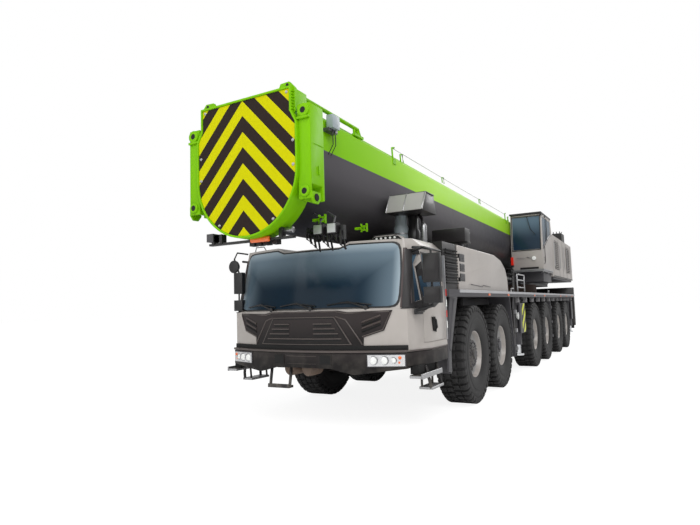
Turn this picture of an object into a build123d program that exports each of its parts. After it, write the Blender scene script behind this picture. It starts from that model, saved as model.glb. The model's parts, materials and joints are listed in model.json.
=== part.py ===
"""Six-axle mobile crane with a stowed box boom, as separate jointed pieces.

Axes: +X forward, +Y to the vehicle's left, +Z up.  Millimetres.
Sizes along the vehicle are measured from the first axle; each piece is shifted
on export, so that the origin lies on the ground under the middle of the crane.
"""
from build123d import *
from math import cos, radians
import os

# ---------------------------------------------------------------- main sizes
FRONT_X = 3610          # front face of the boom head's brackets
REAR_X = -12910         # back of the rear outrigger box
ORIGIN_SHIFT = -(FRONT_X + REAR_X) / 2
WIDTH = 3000            # over the tyres and the deck
HALF = WIDTH / 2

TYRE_R = 740            # 16.00 R25
TYRE_W = 445
WHEEL_SIDES = 20
RIM_R = 345
WHEEL_Y = HALF - 5 - TYRE_W / 2
KINGPIN_Y = 1100
KINGPIN_R = 45
SPINDLE_R = 60
PIN_SIDES = 16          # flats on a turned pin, whose corners lie on its radius
FIT = 0.05              # radial play of a running fit
GAP = 6                 # play between panels that move past each other

# axle, place along the vehicle, whether its wheels steer
AXLES = [
    ("1", 0, True),
    ("2", -1650, True),
    ("3", -4950, False),
    ("4", -6600, False),
    ("5", -8700, True),
    ("6", -10400, True),
]
SIDES = [("left", 1), ("right", -1)]

DECK_TOP = 1710
DECK_THICK = 100
DECK_REAR = -12700

CHASSIS_HALF = 440
CHASSIS_LOW = 850
CHASSIS_FRONT = 1200
CHASSIS_REAR = -12600

CAB_REAR = 1270
CAB_LOW = 980
CAB_HALF = 1450
CAB_SIDE_FRONT = 2000   # where the flat side ends
CAB_BELT = 1480         # above it the front leans back
CAB_LEAN = 0.118        # run back for each rise
CAB_ROOF = 2240
CAB_ROOF_LEFT = 2330
WALL = 50
# the bowed front, from the middle outward: x, half width
NOSE = [(2420, 450), (2360, 900), (2270, 1310)]
NOSE_SKIN = 18          # the dark panel's thickness

BUMPER_LOW = 770
BUMPER_TOP = CAB_LOW
BUMPER_OUT = 50         # how far it stands ahead of the cab
BUMPER_BACK = NOSE[0][0] - 40

HOOD_FRONT = 650
HOOD_TOP = 2360
HOOD_TOP_RIGHT = 2300
HOOD_INNER = 730
HOOD_OUTER = 1450

OUTRIGGERS = [
    # name, middle of the box, half length of the box, underside, top
    ("front", -3600, 400, 900, 1300),
    ("rear", -12150, 400, 900, 1300),
]
BEAM_WIDE = 280         # outrigger beam, along the vehicle
BEAM_TALL = 300
BEAM_TIP = 1360
BEAM_TAIL = -1150
BOARD_HALF = 155        # the striped board on the beam's end
BOARD_Z = (860, 1480)
JACK_R = 105
JACK_LEG_R = 75
PAD_R = 130

SLEW_X = -8200
RING_R = 960
RING_TOP = 2000
TURRET_PLATE_TOP = 2080
BASE_REAR = -11700
TAIL_REAR = -12700
TAIL_LOW = 2230
BOOM_HALF = 620
SIDE_PLATE_IN = BOOM_HALF + 20
SIDE_PLATE_THICK = 60
PIVOT_X = -11300
PIVOT_Z = 3300
PIVOT_R = 80
BOOM_TOP = 3790
BOOM_LOW = 2430
HEAD_BACK = 3000
HEAD_HALF = 690
HEAD_TOP = 3870
HEAD_LOW = 2300
RIM = 22                # width of the collar's rim round the board
BRACKET_HALF = 837
BRACKET_TOP = 3656
BRACKET_LOW = 2634
HEAD_PIN_R = 32
HEAD_PIN_Z = (3580, 2720)
HEAD_PIN_Y = 775

RAM_BASE = (-9300, 2250)
RAM_EYE = (-4700, 2290)
RAM_BARREL_R = 150
RAM_ROD_R = 85
RAM_PIN_R = 60

WINCH_X = -12330
WINCH_Z = 2640

HOUSE_FRONT = -8500
HOUSE_REAR = -12880
HOUSE_LOW = 2220
HOUSE_TOP = 3470
HOUSE_IN = 760
HOUSE_OUT = 1460

OPCAB_FRONT = -6660
OPCAB_REAR = -8350
OPCAB_IN = 730
OPCAB_OUT = 1460
OPCAB_LOW = 2370
OPCAB_TOP = 3875


# ------------------------------------------------------------------- helpers
def block(x, y, z):
    """A box from three (low, high) spans."""
    size = (x[1] - x[0], y[1] - y[0], z[1] - z[0])
    middle = ((x[0] + x[1]) / 2, (y[0] + y[1]) / 2, (z[0] + z[1]) / 2)
    return Pos(*middle) * Box(*size)


def side_plate(points, y):
    """Carry an outline of (x, z) points across the span y."""
    face = make_face(Polyline(*[(px, y[0], pz) for px, pz in points], close=True))
    return extrude(face, amount=y[1] - y[0], dir=(0, 1, 0))


def cross_plate(points, x):
    """Carry an outline of (y, z) points along the span x."""
    face = make_face(Polyline(*[(x[0], py, pz) for py, pz in points], close=True))
    return extrude(face, amount=x[1] - x[0], dir=(1, 0, 0))


def floor_plate(points, z):
    """Raise an outline of (x, y) points through the span z."""
    face = make_face(Polyline(*[(px, py, z[0]) for px, py in points], close=True))
    return extrude(face, amount=z[1] - z[0], dir=(0, 0, 1))


def bar(radius, start, end, sides=0):
    """A bar between two points: truly round, or with the given number of flats."""
    run = Vector(*end) - Vector(*start)
    section = RegularPolygon(radius, sides, major_radius=False) if sides else Circle(radius)
    return extrude(Plane(origin=Vector(*start), z_dir=run) * section, run.length)


def pin(radius, start, end):
    """A turned pin."""
    return bar(radius * cos(radians(180 / PIN_SIDES)), start, end, PIN_SIDES)


def bore(radius, start, end):
    """The bore that such a pin runs in: its flats face the pin's corners."""
    run = Vector(*end) - Vector(*start)
    section = RegularPolygon(radius + FIT, PIN_SIDES, major_radius=False, rotation=180 / PIN_SIDES)
    return extrude(Plane(origin=Vector(*start), z_dir=run) * section, run.length)


def rod_x(radius, x, y, z, sides=0):
    """A bar along X over the span x."""
    return bar(radius, (x[0], y, z), (x[1], y, z), sides)


def rod_y(radius, x, y, z, sides=0):
    """A bar along Y over the span y."""
    return bar(radius, (x, y[0], z), (x, y[1], z), sides)


def rod_z(radius, x, y, z, sides=0):
    """A bar along Z over the span z."""
    return bar(radius, (x, y, z[0]), (x, y, z[1]), sides)


def span(middle, half):
    """The (low, high) span about a middle."""
    return (middle - half, middle + half)


def sided(y, side):
    """A span of y on the left, or its mirror on the right."""
    return tuple(sorted((side * y[0], side * y[1])))


def prism(radius, sides, z, taper=0):
    """An upright prism by its radius over flats, narrowing by the taper angle."""
    section = RegularPolygon(radius, sides, major_radius=False, rotation=180 / sides)
    return extrude(Pos(0, 0, z[0]) * section, z[1] - z[0], taper=taper)


def bent_tube(points, radius, sides=6):
    """A bar along straight runs."""
    tube = None
    for start, end in zip(points, points[1:]):
        piece = bar(radius, start, end, sides)
        tube = piece if tube is None else tube + piece
    return tube


def save(name, *solids):
    """Write one piece, moved into the crane's own frame."""
    moved = [Pos(ORIGIN_SHIFT, 0, 0) * solid for solid in solids]
    body = moved[0] if len(moved) == 1 else Compound(moved)
    body.label = name
    export_step(body, f"parts/{name}.step")


# ------------------------------------------------------------------- wheels
def wheel_form():
    """A tyre on its dished rim and hub, bored for the spindle, facing out along +Z."""
    half = TYRE_W / 2
    form = prism(TYRE_R, WHEEL_SIDES, (-half, half))
    for face in (form.faces().sort_by(Axis.Z)[0], form.faces().sort_by(Axis.Z)[-1]):
        form = chamfer(face.edges(), length=110, length2=55, reference=face)
    form -= Pos(0, 0, half) * Rot(180, 0, 0) * prism(RIM_R, WHEEL_SIDES, (0, half - 65), 16)
    form -= Pos(0, 0, -half) * prism(RIM_R, WHEEL_SIDES, (0, half + 15), 10)
    form += prism(165, 10, (-20, 150))
    form += prism(100, 10, (150, 185))
    return form - bore(SPINDLE_R, (0, 0, -40), (0, 0, 200))


def wheel(form, x, side):
    """The wheel's form set at its place, facing out."""
    return Pos(x, side * WHEEL_Y, TYRE_R) * Rot(-90 * side, 0, 0) * form


def knuckle(x, side):
    """Two ears on a web around the axle's end, with the kingpin and the spindle."""
    body = block(span(x, 90), sided((KINGPIN_Y + 75, KINGPIN_Y + 105), side), span(TYRE_R, 170))
    for low in (-170, 115):
        body += block(span(x, 80), sided((KINGPIN_Y - 70, KINGPIN_Y + 80), side),
                      (TYRE_R + low, TYRE_R + low + 55))
    kingpin = pin(KINGPIN_R, (x, side * KINGPIN_Y, TYRE_R - 165), (x, side * KINGPIN_Y, TYRE_R + 165))
    return body + kingpin + spindle(x, KINGPIN_Y + 100, side)


def spindle(x, start, side):
    """The turned end that a wheel runs on."""
    return pin(SPINDLE_R, (x, side * start, TYRE_R), (x, side * (WHEEL_Y + 160), TYRE_R))


def axle_beam(x, steers):
    """One beam from hub to hub, with eyes for kingpins or plain spindles."""
    end = KINGPIN_Y if steers else WHEEL_Y - 60
    beam = block(span(x, 65), (-end, end), span(TYRE_R, 70))
    beam += rod_y(150, x, (-130, 130), TYRE_R, 12)
    for name, side in SIDES:
        if steers:
            beam += rod_z(62, x, side * KINGPIN_Y, span(TYRE_R, 110), 8)
            beam -= bore(KINGPIN_R, (x, side * KINGPIN_Y, TYRE_R - 120), (x, side * KINGPIN_Y, TYRE_R + 120))
        else:
            beam += spindle(x, end - 20, side)
        beam += rod_z(75, x, side * 700, (TYRE_R + 330, DECK_TOP - DECK_THICK), 8)
        beam += rod_z(45, x, side * 700, (TYRE_R + 60, TYRE_R + 340), 8)
    return beam


# ------------------------------------------------------------------ carrier
def chassis():
    """A closed box frame with openings for the two outrigger boxes."""
    frame = block((CHASSIS_REAR, CHASSIS_FRONT), (-CHASSIS_HALF, CHASSIS_HALF),
                  (CHASSIS_LOW, DECK_TOP - DECK_THICK))
    frame -= block((CHASSIS_REAR - 10, CHASSIS_FRONT + 10), (-CHASSIS_HALF + 30, CHASSIS_HALF - 30),
                   (CHASSIS_LOW + 30, DECK_TOP - DECK_THICK - 30))
    for name, x, half, low, top in OUTRIGGERS:
        frame -= block(span(x, half), (-HALF, HALF), (low, top))
    for name, x, steers in AXLES:
        frame -= block(span(x, 170), (-HALF, HALF), (CHASSIS_LOW - 10, TYRE_R + 170))
    for name, side in SIDES:
        frame += block((CHASSIS_FRONT - 20, BUMPER_BACK), sided((CHASSIS_HALF - 90, CHASSIS_HALF), side),
                       (CHASSIS_LOW - 30, CAB_LOW))
    return frame


def outrigger_box(x, half, low, top):
    """A sleeve across the vehicle that holds two beams side by side."""
    box = block(span(x, half), (-HALF + 280, HALF - 280), (low, top))
    z = (low + top) / 2
    for name, side in SIDES:
        middle = x + side * (BEAM_WIDE / 2 + 30)
        box -= block(span(middle, BEAM_WIDE / 2 + GAP), (-HALF, HALF), span(z, BEAM_TALL / 2 + GAP))
        for up in (-1, 1):
            pad = sided((BEAM_TALL / 2 + FIT, BEAM_TALL / 2 + GAP + 1), up)
            box += block(span(middle, BEAM_WIDE / 2 - 30), sided((700, HALF - 280), side),
                         (z + pad[0], z + pad[1]))
    return box


def outrigger_beam(x, low, top, side):
    """A square beam with the jack's upright tube and a striped end board."""
    z = (low + top) / 2
    middle = x + side * (BEAM_WIDE / 2 + 30)
    beam = block(span(middle, BEAM_WIDE / 2), sided((BEAM_TAIL, BEAM_TIP - JACK_R + 20), side),
                 span(z, BEAM_TALL / 2))
    beam += rod_z(JACK_R, middle, side * (BEAM_TIP - 10), (620, 1540), 12)
    beam -= rod_z(JACK_LEG_R + FIT, middle, side * (BEAM_TIP - 10), (600, 1500), 12)
    beam += block(span(middle, BOARD_HALF), sided((BEAM_TIP + JACK_R - 20, HALF - 20), side), BOARD_Z)
    return beam


def jack_leg(x, side):
    """The sliding leg and its round pad."""
    middle = x + side * (BEAM_WIDE / 2 + 30)
    leg = rod_z(JACK_LEG_R, middle, side * (BEAM_TIP - 10), (420, 1480), 12)
    leg += rod_z(PAD_R, middle, side * (BEAM_TIP - 10), (400, 440), 12)
    return leg


def deck_and_guards():
    """The flat deck over the wheels, with its guards, flaps and upright pipes."""
    under = DECK_TOP - DECK_THICK
    top = block((DECK_REAR, CAB_REAR - 10), (-HALF, HALF), (under, DECK_TOP))
    flap = [(760, under + 2), (1120, 880), (1130, 580), (1155, 580), (1145, 880), (785, under + 2)]
    cheek = [(760, under + 2), (1120, 880), (1130, 600), (1262, 620), (1258, 1000), (1100, under + 2)]
    strip = [(880, 1570), (960, 1570), (1215, 930), (1160, 880)]
    rear = [(-2540, under + 2), (-2860, 420), (-2885, 425), (-2570, under + 2)]
    middle = [(-7560, under + 2), (-7560, 520), (-7585, 520), (-7585, under + 2)]
    for name, side in SIDES:
        for outline in (flap, rear, middle):
            top += side_plate(outline, sided((1020, CAB_HALF - 10), side))
        top += side_plate(cheek, sided((CAB_HALF - 25, CAB_HALF), side))
        top += side_plate(strip, sided((CAB_HALF - 5, CAB_HALF + 8), side))
        for x in (-2960, -7640):
            top += rod_z(32, x, side * 1400, (500, under + 2), 8)
            for z in (540, 930, 1330):
                top += block(span(x, 48), sided((1350, 1450), side), span(z, 35))
    return top


def cab_plan(inset):
    """The cab's plan: flat sides, swept corners and a bowed front."""
    half = [(CAB_REAR, CAB_HALF), (CAB_SIDE_FRONT, CAB_HALF), *reversed(NOSE)]
    outline = half + [(x, -y) for x, y in reversed(half)]
    face = make_face(Polyline(*outline, close=True))
    return offset(face, -inset, kind=Kind.INTERSECTION) if inset else face


def cab_form(inset):
    """The cab's outer form, or the room inside it for a wall of the inset."""
    plan = cab_plan(inset)
    form = extrude(plan, amount=CAB_BELT, dir=(0, 0, 1))
    form += extrude(Pos(0, 0, CAB_BELT) * plan, amount=1000, dir=(-CAB_LEAN, 0, 1))
    front = make_face(Polyline((-CAB_HALF, CAB_LOW), (-CAB_HALF, 2130), (-1340, CAB_ROOF),
                               (540, CAB_ROOF), (760, CAB_ROOF_LEFT), (1340, CAB_ROOF_LEFT),
                               (CAB_HALF, 2230), (CAB_HALF, CAB_LOW), close=True))
    if inset:
        front = offset(front, -inset, kind=Kind.INTERSECTION)
    return form & extrude(Pos(CAB_REAR + inset, 0, 0) * Plane.YZ.location * front,
                          amount=1500, dir=(1, 0, 0))


DOOR_FRONT = 1980
DOOR_BACK = 1330
DOOR_LOW = 1060
DOOR_TOP = 2110
HINGE_X = 1998
HINGE_Y = 1468
HINGE_R = 9
HINGE_Z = (1200, 1600)


def door_region(side, play):
    """The cut that frees one door, or the door itself for a negative play."""
    return block((DOOR_BACK - play, DOOR_FRONT + play), sided((CAB_HALF - 80, CAB_HALF + 20), side),
                 (DOOR_LOW - play, DOOR_TOP + play))


def door_window(side, play):
    """The side window's opening, with its sill rising to the back."""
    low, high = 1540 - play, DOOR_TOP - 50 + play
    back, front = DOOR_BACK + 80 - play, DOOR_FRONT - 60 + play
    outline = [(back, low + 110), (front - 260, low + 110), (front, low), (front, high), (back, high)]
    return side_plate(outline, sided((CAB_HALF - 90, CAB_HALF + 30), side))


def windscreen_cut(play):
    """The windscreen's opening."""
    return block((2050, NOSE[0][0] + 20), (-1220 - play, 1220 + play), (1520 - play, 2175 + play))


def cab_parts():
    """The cab's shell, its two doors and its panes."""
    skin = cab_form(0) - cab_form(WALL)
    pane = cab_form(20) - cab_form(35)
    shell = skin - windscreen_cut(0)
    doors = []
    for name, side in SIDES:
        door = (skin & door_region(side, 0)) - door_window(side, 0)
        glass = pane & door_region(side, 0) & door_window(side, 0)
        handle = block((DOOR_BACK + 60, DOOR_BACK + 200),
                       sided((CAB_HALF - 10, CAB_HALF + 25), side), (1420, 1455))
        shell -= door_region(side, GAP)
        for z in HINGE_Z:
            y = side * HINGE_Y
            door += block((HINGE_X - 50, HINGE_X), sided((CAB_HALF, HINGE_Y + 12), side), span(z, 30))
            door += rod_z(HINGE_R + 7, HINGE_X, y, span(z, 30), 8)
            door -= bore(HINGE_R, (HINGE_X, y, z - 40), (HINGE_X, y, z + 40))
            shell += pin(HINGE_R, (HINGE_X, y, z - 60), (HINGE_X, y, z + 60))
            for low in (-60, 36):
                shell += block((HINGE_X - 12, HINGE_X + 40), sided((CAB_HALF - 50, HINGE_Y + 12), side),
                               (z + low, z + low + 24))
        doors.append((name, door + handle, glass))
    screen = pane & windscreen_cut(0)
    return shell, doors, screen


def bumper_plan(out):
    """The bumper's outer plan, or one set in from it."""
    corner = (NOSE[-1][0] + BUMPER_OUT, NOSE[-1][1])
    half = [(CAB_REAR + 20, CAB_HALF), (CAB_SIDE_FRONT + 20, CAB_HALF), corner,
            *[(x + BUMPER_OUT, y) for x, y in reversed(NOSE[:-1])]]
    face = make_face(Polyline(*(half + [(x, -y) for x, y in reversed(half)]), close=True))
    return offset(face, -out, kind=Kind.INTERSECTION) if out else face


def bumper():
    """The bowed bar with its swept ends, two tow openings and its headlamps."""
    middle = (BUMPER_LOW + BUMPER_TOP) / 2
    tall = BUMPER_TOP - BUMPER_LOW
    bar = extrude(Pos(0, 0, BUMPER_LOW) * bumper_plan(0), tall)
    skin = bar - extrude(Pos(0, 0, BUMPER_LOW) * bumper_plan(14), tall)
    bar -= extrude(Pos(0, 0, BUMPER_LOW - 5) * bumper_plan(90), tall + 10)
    bar -= block((CAB_REAR - 100, CAB_REAR + 120), (-CAB_HALF + 90, CAB_HALF - 90), (BUMPER_LOW - 5, BUMPER_TOP + 5))
    for side in (-1, 1):
        bar -= block((2200, 2600), sided((270, 420), side), span(middle, 60))
        bar -= skin & block((2100, 2600), sided((862, 1290), side), span(middle, 72))
        for y, x in LAMPS:
            bar += rod_x(46, (x - 20, x + 34), side * y, middle, 8)
    return bar


# the round headlamps on each side: distance from the middle, x of the pocket's floor
LAMPS = [(945, 2386), (1060, 2361), (1170, 2337)]


PANEL = [
    # the dark nose panel from its middle to its right edge: y, z
    (0, 1470), (500, 1470), (620, 1450), (1180, 1455), (1100, 1240), (830, 1130), (830, 1050), (0, 1050),
]
SLOTS = [
    # height, inner end, outer end
    (1296, 190, 425), (1236, 190, 465), (1176, 190, 505), (1114, 0, 545),
]


def grille():
    """The dark panel under the windscreen, with its level slots and slanted ribs."""
    outline = PANEL[:-1] + [(-y, z) for y, z in reversed(PANEL[:-1])]
    shape = cross_plate([point for point in outline if point != (0, 1470)], (2000, 2600))
    panel = (cab_form(-NOSE_SKIN) - cab_form(0)) & shape
    skin = cab_form(-NOSE_SKIN - 1) - cab_form(4 - NOSE_SKIN)
    cuts = []
    for z, inner, outer in SLOTS:
        for side in (-1, 1):
            cuts.append(block((2000, 2600), sided((inner, outer), side), span(z, 12)))
    for side in (-1, 1):
        for drop in (0, 60, 120):
            rib = [(790, 1330 - drop), (1040, 1405 - drop), (1030, 1425 - drop), (785, 1350 - drop)]
            cuts.append(cross_plate([(side * y, z) for y, z in rib], (2000, 2600)))
    for cut in cuts:
        panel -= skin & cut
    return panel


def roof_pod():
    """The marker lamps' pod on the left of the roof."""
    roof = CAB_ROOF_LEFT - 5
    outline = [(770, roof), (830, roof + 75), (1130, roof + 75), (1200, roof)]
    return cross_plate(outline, (1990, 2100))


MIRRORS = [
    # side, x, distance out, turn in plan, half width
    (1, 2160, 1630, 0, 100),
    (-1, 2110, 1465, -39, 100),
]


def mirrors():
    """Two housings each side on a tube frame, and a round one on the right."""
    pieces = []
    for side, x, out, turn, half in MIRRORS:
        place = Pos(x, side * out, 0) * Rot(0, 0, turn)
        piece = place * (block((-30, 30), span(0, half), (1700, 2110)) + block((-30, 30), span(0, half), (1480, 1680)))
        stem = (x - 5, side * out)
        piece += rod_z(14, *stem, (1500, 2150), 6)
        for z, reach in ((2140, 1358), (1690, 1386)):
            piece += bent_tube([(2080, side * reach, z), (*stem, z)], 14)
        if side < 0:
            piece += rod_x(90, (2165, 2195), -1400, 2145, 12)
            piece += bent_tube([(*stem, 2140), (2180, -1400, 2140)], 14)
        pieces.append(piece)
    return pieces


def steps():
    """Hanging steps under the cab, at the sides and at the front."""
    pieces = []
    for name, side in SIDES:
        tread = block((1610, 2080), sided((1330, 1470), side), (490, 530))
        upper = block((1610, 2080), sided((1330, 1470), side), (650, 690))
        cheeks = [block(x, sided((1330, 1470), side), (490, BUMPER_LOW)) for x in ((1610, 1635), (2055, 2080))]
        pieces.append(tread + upper + cheeks[0] + cheeks[1])
    x = (NOSE[0][0] - 70, NOSE[0][0] + 20)
    front = block(x, (-690, -400), (500, 540))
    for y in ((-690, -665), (-425, -400)):
        front += block(x, y, (500, BUMPER_LOW))
    pieces.append(front)
    return pieces


def cab_interior():
    """Two seats and the fascia with its wheel."""
    seats = []
    for y in (-750, 750):
        seat = block((1400, 1800), span(y, 240), (1180, 1300))
        seat += block((1380, 1480), span(y, 240), (1300, 1900))
        seat += block((1480, 1720), span(y, 160), (CAB_LOW + WALL, 1180))
        seats.append(seat)
    fascia = block((1990, NOSE[0][0]), (-1200, 1200), (1200, 1440)) & cab_form(WALL)
    fascia += bent_tube([(2050, 750, 1400), (1875, 750, 1540)], 30)
    dial = Plane(origin=(1880, 750, 1535), z_dir=(-0.6, 0, 0.8))
    ring = RegularPolygon(200, 16) - RegularPolygon(172, 16) + Rectangle(350, 40)
    return seats + [fascia + extrude(dial * ring, 22)]


def hollow(x, y, z, wall):
    """A cover of a given wall, open below."""
    return block(x, y, z) - block((x[0] + wall, x[1] - wall), (y[0] + wall, y[1] - wall),
                                  (z[0] - 1, z[1] - wall))


def hood_outline(top, inset):
    """The hood's side outline, which falls in a curve at its back end."""
    low = DECK_TOP - (1 if inset else 0)
    return [(HOOD_FRONT - inset, low), (HOOD_FRONT - inset, top - inset), (-1450, top - inset),
            (-1950, top - 75 - inset), (-2250 + inset, top - 205), (-2400 + inset, top - 390),
            (-2440 + inset, low)]


def engine_hood(side):
    """The long cover behind the cab, with three square vents at its front on the left."""
    top = HOOD_TOP if side > 0 else HOOD_TOP_RIGHT
    hood = side_plate(hood_outline(top, 0), sided((HOOD_INNER, HOOD_OUTER), side))
    hood -= side_plate(hood_outline(top, 30), sided((HOOD_INNER + 30, HOOD_OUTER - 30), side))
    if side > 0:
        for z in (1840, 1985, 2130):
            hood -= block((HOOD_FRONT - 300, HOOD_FRONT - 60), (HOOD_OUTER - 20, HOOD_OUTER + 5), (z, z + 105))
    return hood


def radiator_box(side):
    """The dark louvred box between the cab and the hood."""
    top = HOOD_TOP if side > 0 else HOOD_TOP_RIGHT
    x = (HOOD_FRONT + 5, CAB_REAR - 8)
    box = hollow(x, sided((HOOD_INNER, HOOD_OUTER - 20), side), (DECK_TOP, top), 30)
    for z in range(1800, 2240, 110):
        box += block((x[0] + 50, x[1] - 50), sided((HOOD_OUTER - 22, HOOD_OUTER), side), (z, z + 55))
    return box


def intake_stack():
    """The tall intake box on two pipes, and the silencer lying behind it."""
    stack = block((880, 1290), (700, 1240), (2850, 3100))
    stack += rod_z(80, 1090, 800, (HOOD_TOP, 2860), 12)
    stack += rod_z(80, 1090, 1080, (HOOD_TOP, 2860), 12)
    return stack


def silencer():
    """The black silencer along the hood on two feet."""
    can = rod_x(115, (-500, 780), 1180, 2620, 12)
    for x in (-300, 600):
        can += block(span(x, 30), span(1180, 80), (HOOD_TOP, 2560))
    return can


def ladder():
    """The access ladder on the left side of the deck."""
    y = (1380, 1420)
    frame = block((-3550, -3510), y, (DECK_TOP, 2120)) + block((-4290, -4250), y, (DECK_TOP, 2120))
    for z in (1800, 1960, 2085):
        frame += block((-4290, -3510), y, (z, z + 35))
    return frame


def rear_box():
    """The closed box across the back end, with the tail lamps' panel."""
    body = block((REAR_X, DECK_REAR), (-HALF + 20, HALF - 20), (CHASSIS_LOW - 250, DECK_TOP + 260))
    return body


# ----------------------------------------------------------- superstructure
def slew_ring():
    """The bearing ring on the deck."""
    ring = rod_z(RING_R, SLEW_X, 0, (DECK_TOP, RING_TOP), 32)
    return ring - rod_z(RING_R - 160, SLEW_X, 0, (DECK_TOP - 5, RING_TOP + 5))


def turret():
    """The base plate, its two side plates and the boom and ram pins."""
    base = block((BASE_REAR, SLEW_X + 1100), (-HOUSE_IN, HOUSE_IN), (RING_TOP, TURRET_PLATE_TOP))
    nose = SLEW_X - 400
    outline = [(BASE_REAR, RING_TOP), (TAIL_REAR, TAIL_LOW), (TAIL_REAR, TAIL_LOW + 260),
               (PIVOT_X - 700, PIVOT_Z - 300), (PIVOT_X - 260, PIVOT_Z + 230), (PIVOT_X + 260, PIVOT_Z + 230),
               (nose, TAIL_LOW + 270), (nose, RING_TOP)]
    frame = base + block((TAIL_REAR, BASE_REAR + 100), (-HOUSE_IN, HOUSE_IN), (TAIL_LOW, TAIL_LOW + 60))
    for name, side in SIDES:
        frame += side_plate(outline, sided((SIDE_PLATE_IN, SIDE_PLATE_IN + SIDE_PLATE_THICK), side))
        cheek = [(RAM_BASE[0] - 200, RING_TOP), (RAM_BASE[0] - 120, RAM_BASE[1] + 130),
                 (RAM_BASE[0] + 120, RAM_BASE[1] + 130), (RAM_BASE[0] + 200, RING_TOP)]
        frame += side_plate(cheek, sided((90, 140), side))
        frame += house_floor(side)
    reach = SIDE_PLATE_IN + SIDE_PLATE_THICK + 20
    frame += pin(PIVOT_R, (PIVOT_X, -reach, PIVOT_Z), (PIVOT_X, reach, PIVOT_Z))
    frame += pin(RAM_PIN_R, (RAM_BASE[0], -150, RAM_BASE[1]), (RAM_BASE[0], 150, RAM_BASE[1]))
    return frame + opcab_carrier()


def louvred_house(side):
    """The long machinery housing with its upright slots and level louvres."""
    house = hollow((HOUSE_REAR, HOUSE_FRONT), sided((HOUSE_IN, HOUSE_OUT), side),
                   (HOUSE_LOW, HOUSE_TOP), 40)
    for start in (HOUSE_FRONT - 350, HOUSE_FRONT - 2850):
        for number in range(4):
            house -= block(span(start - number * 220, 50), sided((HOUSE_OUT - 25, HOUSE_OUT + 5), side),
                           (HOUSE_LOW + 200, HOUSE_TOP - 200))
    return house


def house_floor(side):
    """The tray that closes the housing and carries it on the turret."""
    tray = block((HOUSE_REAR + 40, HOUSE_FRONT - 40), sided((SIDE_PLATE_IN + 40, HOUSE_OUT - 40), side),
                 (HOUSE_LOW - 60, HOUSE_LOW))
    return tray


def top_box():
    """The black box on the left housing."""
    return block((HOUSE_FRONT - 2500, HOUSE_FRONT - 20), (HOUSE_IN + 20, HOUSE_OUT - 30), (HOUSE_TOP, HOUSE_TOP + 370))


def winch():
    """The hoist drum between its cheeks, behind the boom's foot."""
    drum = rod_y(200, WINCH_X, (-420, 420), WINCH_Z, 16)
    for y in ((-450, -420), (420, 450)):
        drum += rod_y(290, WINCH_X, y, WINCH_Z, 16)
        drum += block(span(WINCH_X, 150), y, (TAIL_LOW + 60, WINCH_Z))
    return drum


def opcab_form(inset):
    """The crane cab's form, or the room inside it."""
    side = make_face(Polyline((OPCAB_REAR, 0, OPCAB_LOW), (OPCAB_FRONT - 60, 0, OPCAB_LOW),
                              (OPCAB_FRONT, 0, OPCAB_LOW + 500), (OPCAB_FRONT, 0, OPCAB_LOW + 900),
                              (OPCAB_FRONT - 160, 0, OPCAB_TOP), (OPCAB_REAR, 0, OPCAB_TOP), close=True))
    if inset:
        side = offset(side, -inset, kind=Kind.INTERSECTION)
    return extrude(Pos(0, OPCAB_IN + inset, 0) * side,
                   amount=OPCAB_OUT - OPCAB_IN - 2 * inset, dir=(0, 1, 0))


def opcab_windows():
    """The cuts for the front pane and the side panes."""
    front = block((OPCAB_FRONT - 260, OPCAB_FRONT + 20), (OPCAB_IN + 70, OPCAB_OUT - 70),
                  (OPCAB_LOW + 530, OPCAB_TOP - 110))
    outline = [(OPCAB_FRONT - 240, OPCAB_LOW + 560), (OPCAB_FRONT - 1000, OPCAB_LOW + 860),
               (OPCAB_FRONT - 1000, OPCAB_TOP - 120), (OPCAB_FRONT - 240, OPCAB_TOP - 120)]
    return front, side_plate(outline, (OPCAB_OUT - 60, OPCAB_OUT + 20))


def opcab_parts():
    """The crane cab's shell and panes."""
    front, side = opcab_windows()
    skin = opcab_form(0) - opcab_form(45)
    pane = opcab_form(15) - opcab_form(27)
    shell = skin - front - side
    return shell, [pane & front, pane & side]


def opcab_inside():
    """The operator's seat with its console."""
    y = (OPCAB_IN + OPCAB_OUT) / 2
    seat = block((-7900, -7450), span(y, 230), (2750, 2900)) + block((-8000, -7900), span(y, 230), (2750, 3500))
    seat += block((-7800, -7550), span(y, 160), (OPCAB_LOW + 45, 2750))
    seat += block((-7300, -7150), span(y, 200), (OPCAB_LOW + 45, 2800))
    return seat


def opcab_carrier():
    """The bracket that holds the crane cab on the turret."""
    return block((OPCAB_REAR + 60, OPCAB_FRONT - 300), (500, OPCAB_OUT - 60), (RING_TOP + 40, OPCAB_LOW)) \
        - block((OPCAB_REAR, OPCAB_FRONT), (400, SIDE_PLATE_IN + 20), (TURRET_PLATE_TOP, OPCAB_LOW + 10))


# --------------------------------------------------------------------- boom
def boom_section(half, top, low, shoulder, x):
    """The boom's closed section: flat top, steep shoulders and a round belly."""
    belly = low + half
    flat = half - shoulder
    edges = Polyline((x, -half, belly), (x, -half, top - shoulder), (x, -flat, top), (x, flat, top),
                     (x, half, top - shoulder), (x, half, belly))
    arc = ThreePointArc((x, half, belly), (x, 0, low), (x, -half, belly))
    return make_face([*edges.edges(), arc])


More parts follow.
